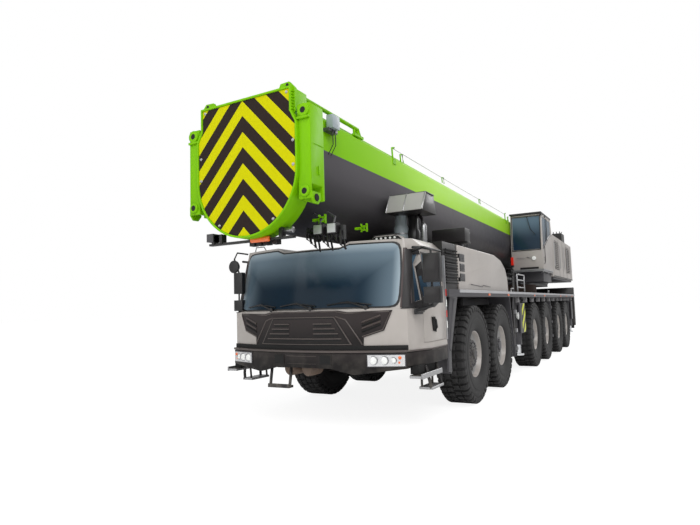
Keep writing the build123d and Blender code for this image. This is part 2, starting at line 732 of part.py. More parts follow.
def boom_shell():
    """The outer boom, with its foot narrowed to the pivot's eye."""
    body = extrude(boom_section(BOOM_HALF, BOOM_TOP, BOOM_LOW, 90, PIVOT_X + 900),
                   amount=HEAD_BACK - PIVOT_X - 900 + 5, dir=(1, 0, 0))
    foot = side_plate([(PIVOT_X - 220, PIVOT_Z - 150), (PIVOT_X - 220, PIVOT_Z + 150),
                       (PIVOT_X - 100, PIVOT_Z + 300), (PIVOT_X + 910, BOOM_TOP - 90),
                       (PIVOT_X + 910, BOOM_LOW + BOOM_HALF - 300), (PIVOT_X, PIVOT_Z - 280)],
                      (-BOOM_HALF + 120, BOOM_HALF - 120))
    body += foot
    body -= bore(PIVOT_R, (PIVOT_X, -HALF, PIVOT_Z), (PIVOT_X, HALF, PIVOT_Z))
    for side in (-1, 1):
        lug = side_plate([(RAM_EYE[0] - 260, BOOM_LOW + 60), (RAM_EYE[0] - 110, RAM_EYE[1] - 90),
                          (RAM_EYE[0] + 110, RAM_EYE[1] - 90), (RAM_EYE[0] + 260, BOOM_LOW + 60)],
                         sided((100, 150), side))
        body += lug
    return body


def head_collar():
    """The thick collar round the boom's front end, recessed for the board."""
    collar = extrude(boom_section(HEAD_HALF, HEAD_TOP, HEAD_LOW, 220, HEAD_BACK),
                     amount=FRONT_X - 10 - HEAD_BACK, dir=(1, 0, 0))
    room = extrude(boom_section(BOOM_HALF, BOOM_TOP, BOOM_LOW, 90, HEAD_BACK - 10), amount=15, dir=(1, 0, 0))
    recess = extrude(boom_section(HEAD_HALF - RIM, HEAD_TOP - RIM, HEAD_LOW + RIM, 215, FRONT_X - 50),
                     amount=60, dir=(1, 0, 0))
    head = collar - room - recess
    for piece in head_brackets() + head_lugs():
        head += piece
    return head + boom_rest_bar()


def head_lugs():
    """The lifting lugs on the head's two upper corners."""
    outline = [(430, HEAD_TOP - 30), (460, HEAD_TOP + 48), (600, HEAD_TOP + 50), (705, HEAD_TOP - 50),
               (705, HEAD_TOP - 240), (650, HEAD_TOP - 240), (560, HEAD_TOP - 130)]
    return [cross_plate([(side * y, z) for y, z in outline], (FRONT_X - 90, FRONT_X - 50)) for side in (-1, 1)]


def head_board():
    """The flat striped board that closes the boom's front."""
    edge = RIM + 1
    return extrude(boom_section(HEAD_HALF - edge, HEAD_TOP - edge, HEAD_LOW + edge, 215, FRONT_X - 50),
                   amount=30, dir=(1, 0, 0))


def head_brackets():
    """The box brackets either side of the head, bored for the jib's pins."""
    pieces = []
    front = (FRONT_X - 70, FRONT_X - 40)
    back = (FRONT_X - 310, FRONT_X - 280)
    for side in (-1, 1):
        for x in (front, back):
            plate = block(x, sided((HEAD_HALF - 10, BRACKET_HALF), side), (BRACKET_LOW, BRACKET_TOP))
            for z in HEAD_PIN_Z:
                plate -= rod_x(HEAD_PIN_R, (x[0] - 5, x[1] + 5), side * HEAD_PIN_Y, z)
            pieces.append(plate)
        pieces.append(block((back[1], front[0]), sided((BRACKET_HALF - 20, BRACKET_HALF), side),
                            (HEAD_PIN_Z[1] + 70, BRACKET_TOP - 20)))
    return pieces


def boom_rail():
    """The tube rail from the head along the boom's left shoulder."""
    level = HEAD_TOP - 25
    rail = bent_tube([(HEAD_BACK + 440, 590, level), (HEAD_BACK - 960, 590, level),
                      (HEAD_BACK - 1040, 590, BOOM_TOP - 90)], 22)
    return rail + rod_z(16, HEAD_BACK - 400, 590, (BOOM_TOP - 90, level), 6)


def boom_rest_bar():
    """The lamps' cross bar, hung under the head."""
    x = span(FRONT_X - 210, 30)
    bar = block(x, (-520, 520), (HEAD_LOW - 20, HEAD_LOW + 10))
    for y in (-400, 400):
        bar += block(x, span(y, 20), (HEAD_LOW - 10, HEAD_LOW + 140))
    return bar


# ---------------------------------------------------------------- luff ram
def ram_barrel():
    """The luffing ram's barrel with its base eye."""
    bx, bz = RAM_BASE
    tube = rod_x(RAM_BARREL_R, (bx + 180, RAM_EYE[0] - 420), 0, bz, 24)
    tube += rod_x(RAM_BARREL_R + 18, (RAM_EYE[0] - 520, RAM_EYE[0] - 420), 0, bz, 24)
    tube += rod_y(RAM_BARREL_R - 10, bx, (-85, 85), bz, 16)
    tube += block((bx, bx + 200), (-85, 85), span(bz, 100))
    tube -= rod_x(RAM_ROD_R + FIT, (bx + 260, RAM_EYE[0]), 0, bz, 16)
    return tube - bore(RAM_PIN_R, (bx, -100, bz), (bx, 100, bz))


def ram_rod():
    """The ram's rod and its eye, which lies between the boom's lugs."""
    bx, bz = RAM_BASE
    rod = rod_x(RAM_ROD_R, (bx + 320, RAM_EYE[0] - 60), 0, bz, 16)
    eye = rod_y(110, RAM_EYE[0], (-85, 85), bz, 16)
    return (rod + eye) - rod_y(RAM_PIN_R, RAM_EYE[0], (-100, 100), bz, 12)


# -------------------------------------------------------------------- write
def main():
    os.makedirs("parts", exist_ok=True)
    save("chassis_frame", chassis())
    save("axle_beams", *[axle_beam(x, steers) for name, x, steers in AXLES])
    save("outrigger_boxes", *[outrigger_box(x, half, low, top) for name, x, half, low, top in OUTRIGGERS])
    save("deck_and_guards", deck_and_guards())
    shell, doors, screen = cab_parts()
    save("cab_shell", shell + grille() + roof_pod())
    save("cab_windscreen", screen)
    for name, door, glass in doors:
        save(f"cab_door_{name}", door)
        save(f"cab_door_glass_{name}", glass)
    save("bumper", bumper())
    save("mirrors", *mirrors())
    save("steps_and_ladder", *steps(), ladder())
    save("cab_seats_and_fascia", *cab_interior())
    save("engine_hoods", engine_hood(1), engine_hood(-1))
    save("radiator_boxes", radiator_box(1), radiator_box(-1))
    save("engine_block", block((-1900, -300), (HOOD_INNER + 60, HOOD_OUTER - 60), (DECK_TOP, HOOD_TOP - 110)))
    save("intake_and_silencer", intake_stack(), silencer())
    save("rear_box", rear_box())
    form = wheel_form()
    for name, x, steers in AXLES:
        for label, side in SIDES:
            save(f"wheel_{name}_{label}", wheel(form, x, side))
            if steers:
                save(f"knuckle_{name}_{label}", knuckle(x, side))
    for name, x, half, low, top in OUTRIGGERS:
        for label, side in SIDES:
            save(f"outrigger_beam_{name}_{label}", outrigger_beam(x, low, top, side))
            save(f"jack_leg_{name}_{label}", jack_leg(x, side))
    save("slew_ring", slew_ring())
    save("turret_frame", turret())
    save("machinery_housing", louvred_house(1) + top_box(), louvred_house(-1))
    save("hoist_winch", winch())
    shell, panes = opcab_parts()
    save("crane_cab_shell", shell)
    save("crane_cab_panes", *panes)
    save("crane_cab_seat", opcab_inside())
    save("boom_shell", boom_shell() + boom_rail())
    save("boom_head", head_collar())
    save("boom_head_board", head_board())
    save("luff_ram_barrel", ram_barrel())
    save("luff_ram_rod", ram_rod())


if __name__ == "__main__":
    main()
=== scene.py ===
import sys
import bpy
import bmesh
import json
import math
from mathutils import Matrix, Vector
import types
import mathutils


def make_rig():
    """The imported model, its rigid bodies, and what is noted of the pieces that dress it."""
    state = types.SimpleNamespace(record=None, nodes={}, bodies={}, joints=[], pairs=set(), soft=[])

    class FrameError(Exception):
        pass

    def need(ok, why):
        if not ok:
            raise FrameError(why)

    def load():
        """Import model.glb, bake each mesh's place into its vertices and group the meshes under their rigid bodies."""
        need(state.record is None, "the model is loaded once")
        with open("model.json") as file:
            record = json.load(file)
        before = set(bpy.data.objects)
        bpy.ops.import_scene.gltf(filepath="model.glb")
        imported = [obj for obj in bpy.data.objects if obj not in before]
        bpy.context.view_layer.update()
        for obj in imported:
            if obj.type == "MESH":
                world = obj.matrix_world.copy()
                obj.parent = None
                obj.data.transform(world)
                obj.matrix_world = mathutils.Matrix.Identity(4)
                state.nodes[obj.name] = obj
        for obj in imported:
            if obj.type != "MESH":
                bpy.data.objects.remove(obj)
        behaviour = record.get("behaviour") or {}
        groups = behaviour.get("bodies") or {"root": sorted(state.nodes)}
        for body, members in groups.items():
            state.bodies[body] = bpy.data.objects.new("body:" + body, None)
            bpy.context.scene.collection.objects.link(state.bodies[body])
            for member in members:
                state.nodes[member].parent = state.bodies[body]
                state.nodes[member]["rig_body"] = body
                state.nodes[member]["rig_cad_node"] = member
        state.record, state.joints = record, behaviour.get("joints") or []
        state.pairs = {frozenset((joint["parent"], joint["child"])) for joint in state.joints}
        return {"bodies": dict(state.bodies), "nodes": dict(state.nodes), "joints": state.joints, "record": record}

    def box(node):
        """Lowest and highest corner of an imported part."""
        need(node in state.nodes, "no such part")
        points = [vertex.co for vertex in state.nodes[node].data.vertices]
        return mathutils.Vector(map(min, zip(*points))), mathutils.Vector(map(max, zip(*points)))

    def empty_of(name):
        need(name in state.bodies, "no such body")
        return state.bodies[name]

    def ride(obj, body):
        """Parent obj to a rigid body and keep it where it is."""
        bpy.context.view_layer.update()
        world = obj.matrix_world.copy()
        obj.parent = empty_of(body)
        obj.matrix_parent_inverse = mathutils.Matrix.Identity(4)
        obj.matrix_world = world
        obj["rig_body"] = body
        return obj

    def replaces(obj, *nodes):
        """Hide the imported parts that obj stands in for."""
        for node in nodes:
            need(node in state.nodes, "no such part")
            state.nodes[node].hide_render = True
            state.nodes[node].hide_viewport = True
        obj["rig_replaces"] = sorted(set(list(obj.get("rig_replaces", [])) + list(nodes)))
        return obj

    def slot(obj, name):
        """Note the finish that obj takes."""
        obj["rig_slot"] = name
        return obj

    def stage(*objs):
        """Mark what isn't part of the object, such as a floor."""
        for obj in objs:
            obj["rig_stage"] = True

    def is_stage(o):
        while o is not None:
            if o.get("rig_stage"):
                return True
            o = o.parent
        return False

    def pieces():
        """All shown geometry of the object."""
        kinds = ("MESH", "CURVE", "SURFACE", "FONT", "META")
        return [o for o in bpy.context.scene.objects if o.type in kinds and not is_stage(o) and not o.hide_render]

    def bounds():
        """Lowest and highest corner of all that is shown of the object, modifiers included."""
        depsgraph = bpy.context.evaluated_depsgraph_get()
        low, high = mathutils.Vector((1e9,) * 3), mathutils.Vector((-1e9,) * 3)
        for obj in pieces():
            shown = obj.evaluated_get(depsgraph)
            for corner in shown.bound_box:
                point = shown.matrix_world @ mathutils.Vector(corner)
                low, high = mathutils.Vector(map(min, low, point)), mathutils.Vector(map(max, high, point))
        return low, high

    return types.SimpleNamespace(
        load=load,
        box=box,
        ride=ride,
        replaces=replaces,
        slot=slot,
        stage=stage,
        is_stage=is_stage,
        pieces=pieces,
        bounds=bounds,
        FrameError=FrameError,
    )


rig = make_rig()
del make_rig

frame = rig.load()
CAD_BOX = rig.bounds()

bl_info = {
    "name": "Mobile Crane Dresser",
    "version": (1, 0, 0),
    "blender": (4, 5, 0),
    "location": "View3D > Sidebar > Crane",
    "description": "Dresses the jointed mobile crane in paint, glass, rubber and small fittings",
    "category": "Object",
}

# Lengths are metres. Places are measured from the first axle, along the ground's centre line;
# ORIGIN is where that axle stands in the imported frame.
SIDES = (("left", 1), ("right", -1))
ORIGIN = sum(corner[0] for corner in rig.box("wheel_1_left")) / 2
AXLES = [sum(corner[0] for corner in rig.box(f"wheel_{n}_left")) / 2 - ORIGIN for n in range(1, 7)]
TYRE_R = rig.box("wheel_1_left")[1][2] / 2
WHEEL_Y = sum(corner[1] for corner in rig.box("wheel_1_left")) / 2

# The cab's outer form.
CAB_BELT = 1.48  # height of the belt line, above which the front stands back and leans
CAB_HALF = 1.45  # half the width over the sides
NOSE_HALF = 1.31  # half the width of the bowed front
NOSE_CREST = 2.53  # x of the front on the centre line
NOSE_BOW = 0.275  # how far the front falls back at its ends
CAB_REAR = 1.27  # x of the back wall
SIDE_FRONT = 1.85  # x where the sides end and the swept corners start
CAB_SET = 0.04  # the step back at the belt line
RAKE = 0.22  # how far the front leans back per metre of height


def nose(y, z=0.0):
    """x of the cab's bowed front, which stands back and leans above the belt line."""
    back = CAB_SET + RAKE * (z - CAB_BELT) if z > CAB_BELT else 0.0
    return NOSE_CREST - NOSE_BOW * (y / NOSE_HALF) ** 2 - back


def linear(*display):
    """Linear light of a colour given as it is shown."""
    return tuple(c / 12.92 if c <= 0.04045 else ((c + 0.055) / 1.055) ** 2.4 for c in display)


def spread(low, high, count):
    """Evenly spaced values, both ends included."""
    return [low + (high - low) * i / (count - 1) for i in range(count)]


def across(side, near, far):
    """The span over y between two distances from the centre line, on one side."""
    return sorted((side * near, side * far))


# ------------------------------------------------------------- shader maths
def maths(operation, swapped=False):
    """A method that joins a wire and its other terms in one maths node."""
    def method(wire, *others):
        node = wire.tree.nodes.new("ShaderNodeMath")
        node.operation = operation
        terms = (wire, *others)
        for slot, value in zip(node.inputs, reversed(terms) if swapped else terms):
            plug(wire.tree, slot, value)
        return Wire(wire.tree, node.outputs[0])
    return method


class Wire:
    """A node socket that takes part in sums, so a pattern reads as a formula."""
    __add__ = maths("ADD")
    __sub__ = maths("SUBTRACT")
    __rsub__ = maths("SUBTRACT", swapped=True)
    __mul__ = maths("MULTIPLY")
    __mod__ = maths("FLOORED_MODULO")
    __lt__ = maths("LESS_THAN")
    __abs__ = maths("ABSOLUTE")
    least = maths("MINIMUM")
    most = maths("MAXIMUM")

    def __init__(self, tree, socket):
        self.tree = tree
        self.socket = socket

    def ramp(self, low, high):
        """0 below low and 1 above high, smooth between."""
        node = self.tree.nodes.new("ShaderNodeMapRange")
        node.interpolation_type = "SMOOTHSTEP"
        plug(self.tree, node.inputs[0], self)
        node.inputs[1].default_value = low
        node.inputs[2].default_value = high
        return Wire(self.tree, node.outputs[0])


def plug(tree, slot, value):
    """Link a wire to a socket, or set the socket's own value."""
    if isinstance(value, Wire):
        tree.links.new(value.socket, slot)
    else:
        slot.default_value = value


class Finish:
    """A material under construction around one glossy shader."""

    def __init__(self, name, metallic=0.0, roughness=0.5, coat=0.0, alpha=1.0, gloss=0.5):
        self.material = bpy.data.materials.new(name)
        self.material.use_nodes = True
        self.tree = self.material.node_tree
        self.shader = self.tree.nodes["Principled BSDF"]
        self.set("Metallic", metallic)
        self.set("Roughness", roughness)
        self.set("Coat Weight", coat)
        self.set("Alpha", alpha)
        self.set("Coat Roughness", 0.06)
        self.set("Specular IOR Level", gloss)

    def add(self, kind, settings=(), values=()):
        """Make a node, with its settings first and its sockets after."""
        node = self.tree.nodes.new(kind)
        for key, value in dict(settings).items():
            setattr(node, key, value)
        for key, value in dict(values).items():
            plug(self.tree, node.inputs[key], value)
        return node

    def out(self, node, key=0):
        """One output of a node, as a wire."""
        return Wire(self.tree, node.outputs[key])

    def set(self, key, value):
        """Give a value or a wire to one of the shader's inputs."""
        plug(self.tree, self.shader.inputs[key], value)

    def place(self):
        """The point on the piece, as three wires with x from the first axle."""
        point = self.add("ShaderNodeTexCoord")
        split = self.add("ShaderNodeSeparateXYZ", (), {0: self.out(point, "Object")})
        x, y, z = (self.out(split, axis) for axis in range(3))
        return x - ORIGIN, y, z

    def noise(self, scale, detail=4.0, stretch=None):
        """Fractal noise over the piece, 0 to 1."""
        vector = self.out(self.add("ShaderNodeTexCoord"), "Object")
        if stretch:
            vector = self.out(self.add("ShaderNodeMapping", (), {"Vector": vector, "Scale": stretch}))
        node = self.add("ShaderNodeTexNoise", (), {"Vector": vector, "Scale": scale, "Detail": detail})
        return self.out(node, "Fac")

    def blend(self, mask, first, second):
        """A colour that goes from first to second as the mask rises."""
        node = self.add("ShaderNodeMix", {"data_type": "RGBA"})
        plug(self.tree, node.inputs[0], mask)
        for slot, value in ((node.inputs[6], first), (node.inputs[7], second)):
            plug(self.tree, slot, value if isinstance(value, Wire) else tuple(value)[:3] + (1,))
        return self.out(node, 2)

    def bump(self, height, strength, distance):
        """Let a height wire raise and lower the surface."""
        node = self.add("ShaderNodeBump", (), {"Strength": strength, "Distance": distance,
                                               "Height": height})
        self.set("Normal", self.out(node, "Normal"))


def shade(colour, gain):
    """A lighter or darker tone of a colour."""
    return tuple(min(1.0, c * gain) for c in colour[:3])


DUST = (0.20, 0.18, 0.155)
DUST_HEIGHTS = (0.2, 1.5)  # road dust is full below the first and gone above the second


def enamel(name, tone, roughness=0.38, coat=0.25, dust=1.0, gloss=0.4):
    """Sprayed enamel with faint orange peel, a slight mottling and road dust low down."""
    f = Finish(name, coat=coat, gloss=gloss)
    x, y, z = f.place()
    base = tone(f, x, y, z) if callable(tone) else tone
    patch = f.noise(1.7, 5).ramp(0.3, 0.75)
    if not isinstance(base, Wire):
        base = f.blend(patch, shade(base, 0.96), shade(base, 1.04))
    grime = (f.noise(6.0, 6) - 0.42).most(0.0) * (1.0 - z.ramp(*DUST_HEIGHTS)) * (dust * 2.2)
    f.set("Base Color", f.blend(grime.least(0.5), base, DUST))
    f.set("Roughness", f.noise(9.0, 3) * 0.14 + (roughness - 0.07))
    f.bump(f.noise(260.0, 2), 0.04, 0.002)
    return f.material


def boom_tone(f, x, y, z):
    """Lime above the band's lower edge, and below it slate with painted shade that darkens it towards the belly."""
    band = colours().band_low
    mask = z.ramp(band - 0.003, band + 0.003)
    # Painted shade: the slate darkens towards the boom's belly, with a little random tone mixed in.
    depth = z.ramp(2.55, 3.30) * 0.8 + f.noise(0.5, 2) * 0.2
    slate = f.blend(depth, shade(colours().slate, 0.25), shade(colours().slate, 1.1))
    lime = f.blend(x.ramp(-1.0, 3.0), linear(0.63, 0.86, 0.08), colours().green)
    return f.blend(mask, slate, lime)


def chevron_tone(f, x, y, z):
    """Chevrons that point up, yellow on charcoal."""
    fall = colours().chevron_apex - z - abs(y + 0.025) * math.tan(colours().chevron_lean)
    mask = (fall % colours().chevron_pitch) < colours().chevron_yellow
    wear = f.noise(30.0, 4)
    yellow = f.blend(wear, linear(0.76, 0.75, 0.0), linear(0.80, 0.79, 0.0))
    charcoal = f.blend(wear, linear(0.16, 0.13, 0.12), linear(0.19, 0.155, 0.14))
    return f.blend(mask, charcoal, yellow)


def panel_tone(f, x, y, z):
    """The nose panel's charcoal, with painted shade that darkens it towards its foot."""
    low = colours().charcoal
    return f.blend(z.ramp(1.08, 1.40), shade(low, 0.30), shade(low, 0.85))


def bumper_tone(f, x, y, z):
    """The bumper's charcoal, with painted shade that makes it nearly black along its lower edge."""
    return f.blend(z.ramp(0.78, 0.95), shade(colours().charcoal, 0.2), shade(colours().charcoal, 0.55))


def hazard_tone(f, x, y, z):
    """Slanted yellow and black bars for the outriggers' ends."""
    mask = ((z + x * 0.9 + y * 0.9) % 0.28) < 0.14
    wear = f.noise(30.0, 4)
    yellow = f.blend(wear, linear(0.84, 0.86, 0.05), linear(0.88, 0.90, 0.08))
    return f.blend(mask, linear(0.10, 0.09, 0.09), yellow)


def screen_glass():
    """Windscreen glass, deep blue low in the middle, with painted reflection that makes it pale towards its sides, top
    and rim.
    """
    f = Finish("Windscreen glass", roughness=0.12, alpha=0.985, gloss=0.12)
    x, y, z = f.place()
    # Painted reflection: the glass turns pale towards its sides and its top.
    side = abs(y + 0.02).ramp(0.70, 1.22)
    high = z.ramp(1.74, 2.24)
    pale = (side * 0.8).most(high)
    haze = f.noise(0.8, 2)
    deep = f.blend(haze, linear(0.04, 0.12, 0.17), linear(0.09, 0.18, 0.25))
    # Painted reflection along the rim as well.
    rim = abs(y).ramp(1.10, 1.21).most(z.ramp(2.16, 2.29)) * 0.75
    tone = f.blend(pale, deep, linear(0.43, 0.50, 0.55))
    f.set("Base Color", f.blend(rim, tone, linear(0.66, 0.72, 0.76)))
    f.set("Roughness", haze * 0.08 + 0.10)
    return f.material


def cabin_glass():
    """Side glass, deep blue below, with painted reflection that makes it paler above."""
    f = Finish("Side glass", roughness=0.12, alpha=0.97, gloss=0.15)
    x, y, z = f.place()
    # Painted reflection: a pale band over the carrier cab's upper panes and the crane cab's upper panes.
    carrier = z.ramp(1.65, 2.15) * (1.0 - z.ramp(2.2, 2.3))
    crane = z.ramp(3.15, 3.75)
    haze = f.noise(0.8, 2)
    deep = f.blend(haze, linear(0.08, 0.16, 0.23), linear(0.12, 0.22, 0.30))
    f.set("Base Color", f.blend(carrier.most(crane), deep, linear(0.36, 0.45, 0.52)))
    f.set("Roughness", haze * 0.08 + 0.10)
    return f.material


def rubber():
    """Tyre rubber, paler where it is worn."""
    f = Finish("Tyre rubber")
    wear = f.noise(14.0, 6)
    f.set("Base Color", f.blend(wear, linear(0.10, 0.10, 0.105), linear(0.20, 0.195, 0.195)))
    f.set("Roughness", wear * 0.2 + 0.62)
    f.bump(f.noise(160.0, 4), 0.3, 0.003)
    return f.material


def plastic(name, tone, roughness=0.42):
    """Grained plastic."""
    f = Finish(name)
    patch = f.noise(3.0, 4)
    f.set("Base Color", f.blend(patch, shade(tone, 0.8), shade(tone, 1.2)))
    f.set("Roughness", patch * 0.2 + (roughness - 0.1))
    f.bump(f.noise(420.0, 2), 0.2, 0.001)
    return f.material


def metal(name, tone, roughness=0.3, metallic=0.9):
    """Streaked metal."""
    f = Finish(name, metallic=metallic)
    streak = f.noise(8.0, 5, (1, 1, 5))
    f.set("Base Color", f.blend(streak, shade(tone, 0.85), shade(tone, 1.15)))
    f.set("Roughness", streak * 0.2 + (roughness - 0.1))
    f.bump(f.noise(90.0, 3), 0.06, 0.002)
    return f.material


def lamp(name, tone, glow):
    """A lens that glows faintly in its own colour."""
    f = Finish(name, roughness=0.15, coat=0.6)
    ribs = f.noise(60.0, 2)
    hue = f.blend(ribs, shade(tone, 0.75), shade(tone, 1.2))
    f.set("Base Color", hue)
    f.set("Emission Color", hue)
    f.shader.inputs["Emission Strength"].default_value = glow
    f.bump(ribs, 0.3, 0.002)
    return f.material


def cloth():
    """Woven cloth for the seats."""
    f = Finish("Woven seat cloth", roughness=0.9)
    weave = f.noise(240.0, 2)
    f.set("Base Color", f.blend(weave, (0.012, 0.012, 0.014), (0.04, 0.04, 0.044)))
    f.bump(weave, 0.4, 0.002)
    return f.material


def colours():
    """The paint colours and pattern sizes that the scene holds."""
    return bpy.context.scene.crane_colours


MAKERS = {
    # enamel: name, tone, roughness, coat, dust, gloss; plastic: name, tone, roughness;
    # metal: name, tone, roughness, metallic; lamp: name, tone, glow
    "grey": lambda: enamel("Warm grey enamel", colours().grey),
    "green": lambda: enamel("Lime enamel", colours().green, 0.45, 0.0, 0.1, 0.12),
    "boom": lambda: enamel("Boom enamel", boom_tone, 0.40, 0.0, 0.1, 0.15),
    "chevron": lambda: enamel("Chevron film", chevron_tone, 0.55, 0.0, 0.1, 0.06),
    "hazard": lambda: enamel("Hazard film", hazard_tone, 0.42, 0.1, 0.3),
    "slate": lambda: enamel("Slate enamel", colours().slate, 0.30, 0.5, 0.1),
    "charcoal": lambda: enamel("Charcoal enamel", panel_tone, 0.4, 0.1, 0.3, 0.2),
    # Light charcoal for the painted highlights along raised edges of the nose panel and bumper.
    "ridge": lambda: enamel("Worn charcoal ridge", linear(0.33, 0.30, 0.29), 0.4, 0.1, 0.3, 0.3),
    "bumper": lambda: enamel("Bumper enamel", bumper_tone, 0.42, 0.05, 0.5, 0.2),
    "pillar": lambda: enamel("Pillar enamel", colours().pillar, 0.35, 0.2, 0.0),
    "silver": lambda: metal("Silver tread", (0.42, 0.42, 0.43), 0.35, 0.7),
    "rim": lambda: metal("Painted rim", (0.34, 0.335, 0.33), 0.42, 0.35),
    "frame": lambda: enamel("Frame grey enamel", colours().frame, 0.45, 0.1),
    "black": lambda: enamel("Black enamel", linear(0.12, 0.11, 0.115), 0.4, 0.1),
    "screen": screen_glass,
    "glass": cabin_glass,
    "rubber": rubber,
    "plastic": lambda: plastic("Grained black plastic", linear(0.11, 0.11, 0.115)),
    "shroud": lambda: enamel("Shroud enamel", linear(0.66, 0.655, 0.64), 0.45, 0.0, 0.2, 0.2),
    "rail": lambda: enamel("Rail enamel", linear(0.70, 0.70, 0.71), 0.5, 0.0, 0.2, 0.2),
    "lamp_box": lambda: plastic("Light grey case", linear(0.60, 0.64, 0.66)),
    "casing": lambda: plastic("Dark grey casing", linear(0.27, 0.265, 0.28)),
    "hollow": lambda: plastic("Shaded hollow", linear(0.05, 0.05, 0.05), 0.8),
    "tank": lambda: plastic("Brown tank", linear(0.42, 0.35, 0.30), 0.5),
    "steel": lambda: metal("Worn steel", (0.36, 0.36, 0.37)),
    "bright": lambda: metal("Bright reflector", (0.75, 0.75, 0.76), 0.2),
    "chrome": lambda: metal("Hard chrome", (0.75, 0.76, 0.78), 0.14, 1.0),
    "iron": lambda: metal("Cast iron", (0.09, 0.085, 0.08), 0.65, 0.3),
    "rust": lambda: plastic("Slew ring brown", linear(0.30, 0.22, 0.18), 0.7),
    "white_lamp": lambda: lamp("Clear lens", (0.75, 0.76, 0.74), 0.25),
    "orange_lamp": lambda: lamp("Orange lens", (0.70, 0.13, 0.02), 0.25),
    "red_lamp": lambda: lamp("Red lens", (0.60, 0.02, 0.01), 0.25),
    "seat": cloth,
}
FINISHES = {}


def finish(name):
    """The finish of that name, made when it is first asked for."""
    if name not in FINISHES:
        FINISHES[name] = MAKERS[name]()
    return FINISHES[name]


# ------------------------------------------------------------------- forms
AXES = "xyz"
SAME_SPOT = 0.00002  # corners of a form closer than this are one
SAME_PACKED_SPOT = 0.00005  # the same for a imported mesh
FLAT = math.radians(0.6)  # packed faces that meet at less are one flat face
SMOOTH = math.radians(35)  # faces that meet at less are shaded as one
CREASE = math.radians(30)  # edges sharper than this are rounded


class Form:
    """A mesh under construction, with x from the first axle and one finish per face."""

    def __init__(self, name, body, *looks):
        self.name = name
        self.body = body
        self.looks = list(looks)
        self.mesh = bmesh.new()

    def skin(self, rows, look=None, closed=False):
        """Quads between rows of points, with each row closed into a ring if asked."""
        look = look or self.looks[0]
        verts = [[self.mesh.verts.new(point) for point in row] for row in rows]
        span = len(rows[0])
        for first, second in zip(verts, verts[1:]):
            for i in range(span if closed else span - 1):
                j = (i + 1) % span
                self.face([first[i], first[j], second[j], second[i]], look)
        return verts

    def place_of(self, look):
        """The place of a finish among the form's own, where it is put when it is new."""
        if look not in self.looks:
            self.looks.append(look)
        return self.looks.index(look)

    def face(self, verts, look):
        """One face, which may be any flat polygon."""
        place = self.place_of(look)
        self.mesh.faces.new(verts).material_index = place

    def prism(self, rings, look=None):
        """A closed solid through rings of points."""
        look = look or self.looks[0]
        verts = self.skin(rings, look, closed=True)
        self.face(list(reversed(verts[0])), look)
        self.face(verts[-1], look)

    def block(self, x, y, z, look=None):
        """A box over three spans."""
        ring = [(x[0], y[0]), (x[1], y[0]), (x[1], y[1]), (x[0], y[1])]
        self.prism([[(a, b, level) for a, b in ring] for level in z], look)

    def slab(self, outline, axis, span, look=None):
        """A flat outline in the two other axes, carried over a span of one axis."""
        k = AXES.index(axis)
        self.prism([[point[:k] + (level,) + point[k:] for point in map(tuple, outline)]
                    for level in span], look)

    def tube(self, points, radius, look=None, sides=8):
        """A round bar along straight runs, mitred at its bends."""
        points = [Vector(p) for p in points]
        rings = []
        for i, point in enumerate(points):
            ahead = (points[min(i + 1, len(points) - 1)] - points[max(i - 1, 0)]).normalized()
            side = ahead.cross(Vector((0, 0, 1)) if abs(ahead.z) < 0.9 else Vector((1, 0, 0))).normalized()
            rise = ahead.cross(side)
            turn = [2 * math.pi * k / sides for k in range(sides)]
            rings.append([tuple(point + radius * (math.cos(t) * side + math.sin(t) * rise)) for t in turn])
        self.prism(rings, look)

    def lathe(self, profile, centre, axis, look=None, sides=32, looks=None):
        """A profile of (distance along the axis, radius) turned about that axis."""
        k = AXES.index(axis)
        rings = []
        for along, radius in profile:
            ring = []
            for n in range(sides):
                t = 2 * math.pi * n / sides
                place = [radius * math.cos(t), radius * math.sin(t)]
                place.insert(k, along)
                ring.append(tuple(c + p for c, p in zip(centre, place)))
            rings.append(ring)
        if looks is None:
            self.prism(rings, look)
            return
        for pair, item in zip(zip(rings, rings[1:]), looks):
            self.skin(pair, item, closed=True)

    def drum(self, centre, axis, span, radius, look=None, sides=24):
        """A round disc or bar across a span of one axis."""
        self.lathe([(span[0], radius), (span[1], radius)], centre, axis, look, sides)

    def merge(self, mesh, look):
        """Take in a finished mesh under one finish."""
        place = self.place_of(look)
        before = len(self.mesh.faces)
        self.mesh.from_mesh(mesh)
        self.mesh.faces.ensure_lookup_table()
        for made in self.mesh.faces[before:]:
            made.material_index = place

    def baked(self, bevel=0.0, segments=2):
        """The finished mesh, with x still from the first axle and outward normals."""
        bmesh.ops.remove_doubles(self.mesh, verts=self.mesh.verts, dist=SAME_SPOT)
        bmesh.ops.recalc_face_normals(self.mesh, faces=self.mesh.faces)
        mesh = bpy.data.meshes.new(self.name)
        self.mesh.to_mesh(mesh)
        self.mesh.free()
        for look in self.looks:
            mesh.materials.append(finish(look))
        if bevel:
            mesh = rounded(mesh, bevel, segments)
        smooth(mesh)
        return mesh

    def done(self, bevel=0.0, segments=2, stands_for=()):
        """Link the form as a named piece on its body."""
        mesh = self.baked(bevel, segments)
        mesh.transform(Matrix.Translation((ORIGIN, 0, 0)))
        piece(self.name, mesh, self.body, stands_for)


def smooth(mesh):
    """Smooth shading with the sharper edges kept."""
    mesh.polygons.foreach_set("use_smooth", [True] * len(mesh.polygons))
    mesh.set_sharp_from_angle(angle=SMOOTH)


def piece(name, mesh, body, stands_for=(), slot=None):
    """Link a finished mesh as a named piece that rides on a body."""
    obj = bpy.data.objects.new(name, mesh)
    bpy.context.scene.collection.objects.link(obj)
    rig.ride(obj, body)
    if slot:
        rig.slot(obj, slot)
    if stands_for:
        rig.replaces(obj, *stands_for)


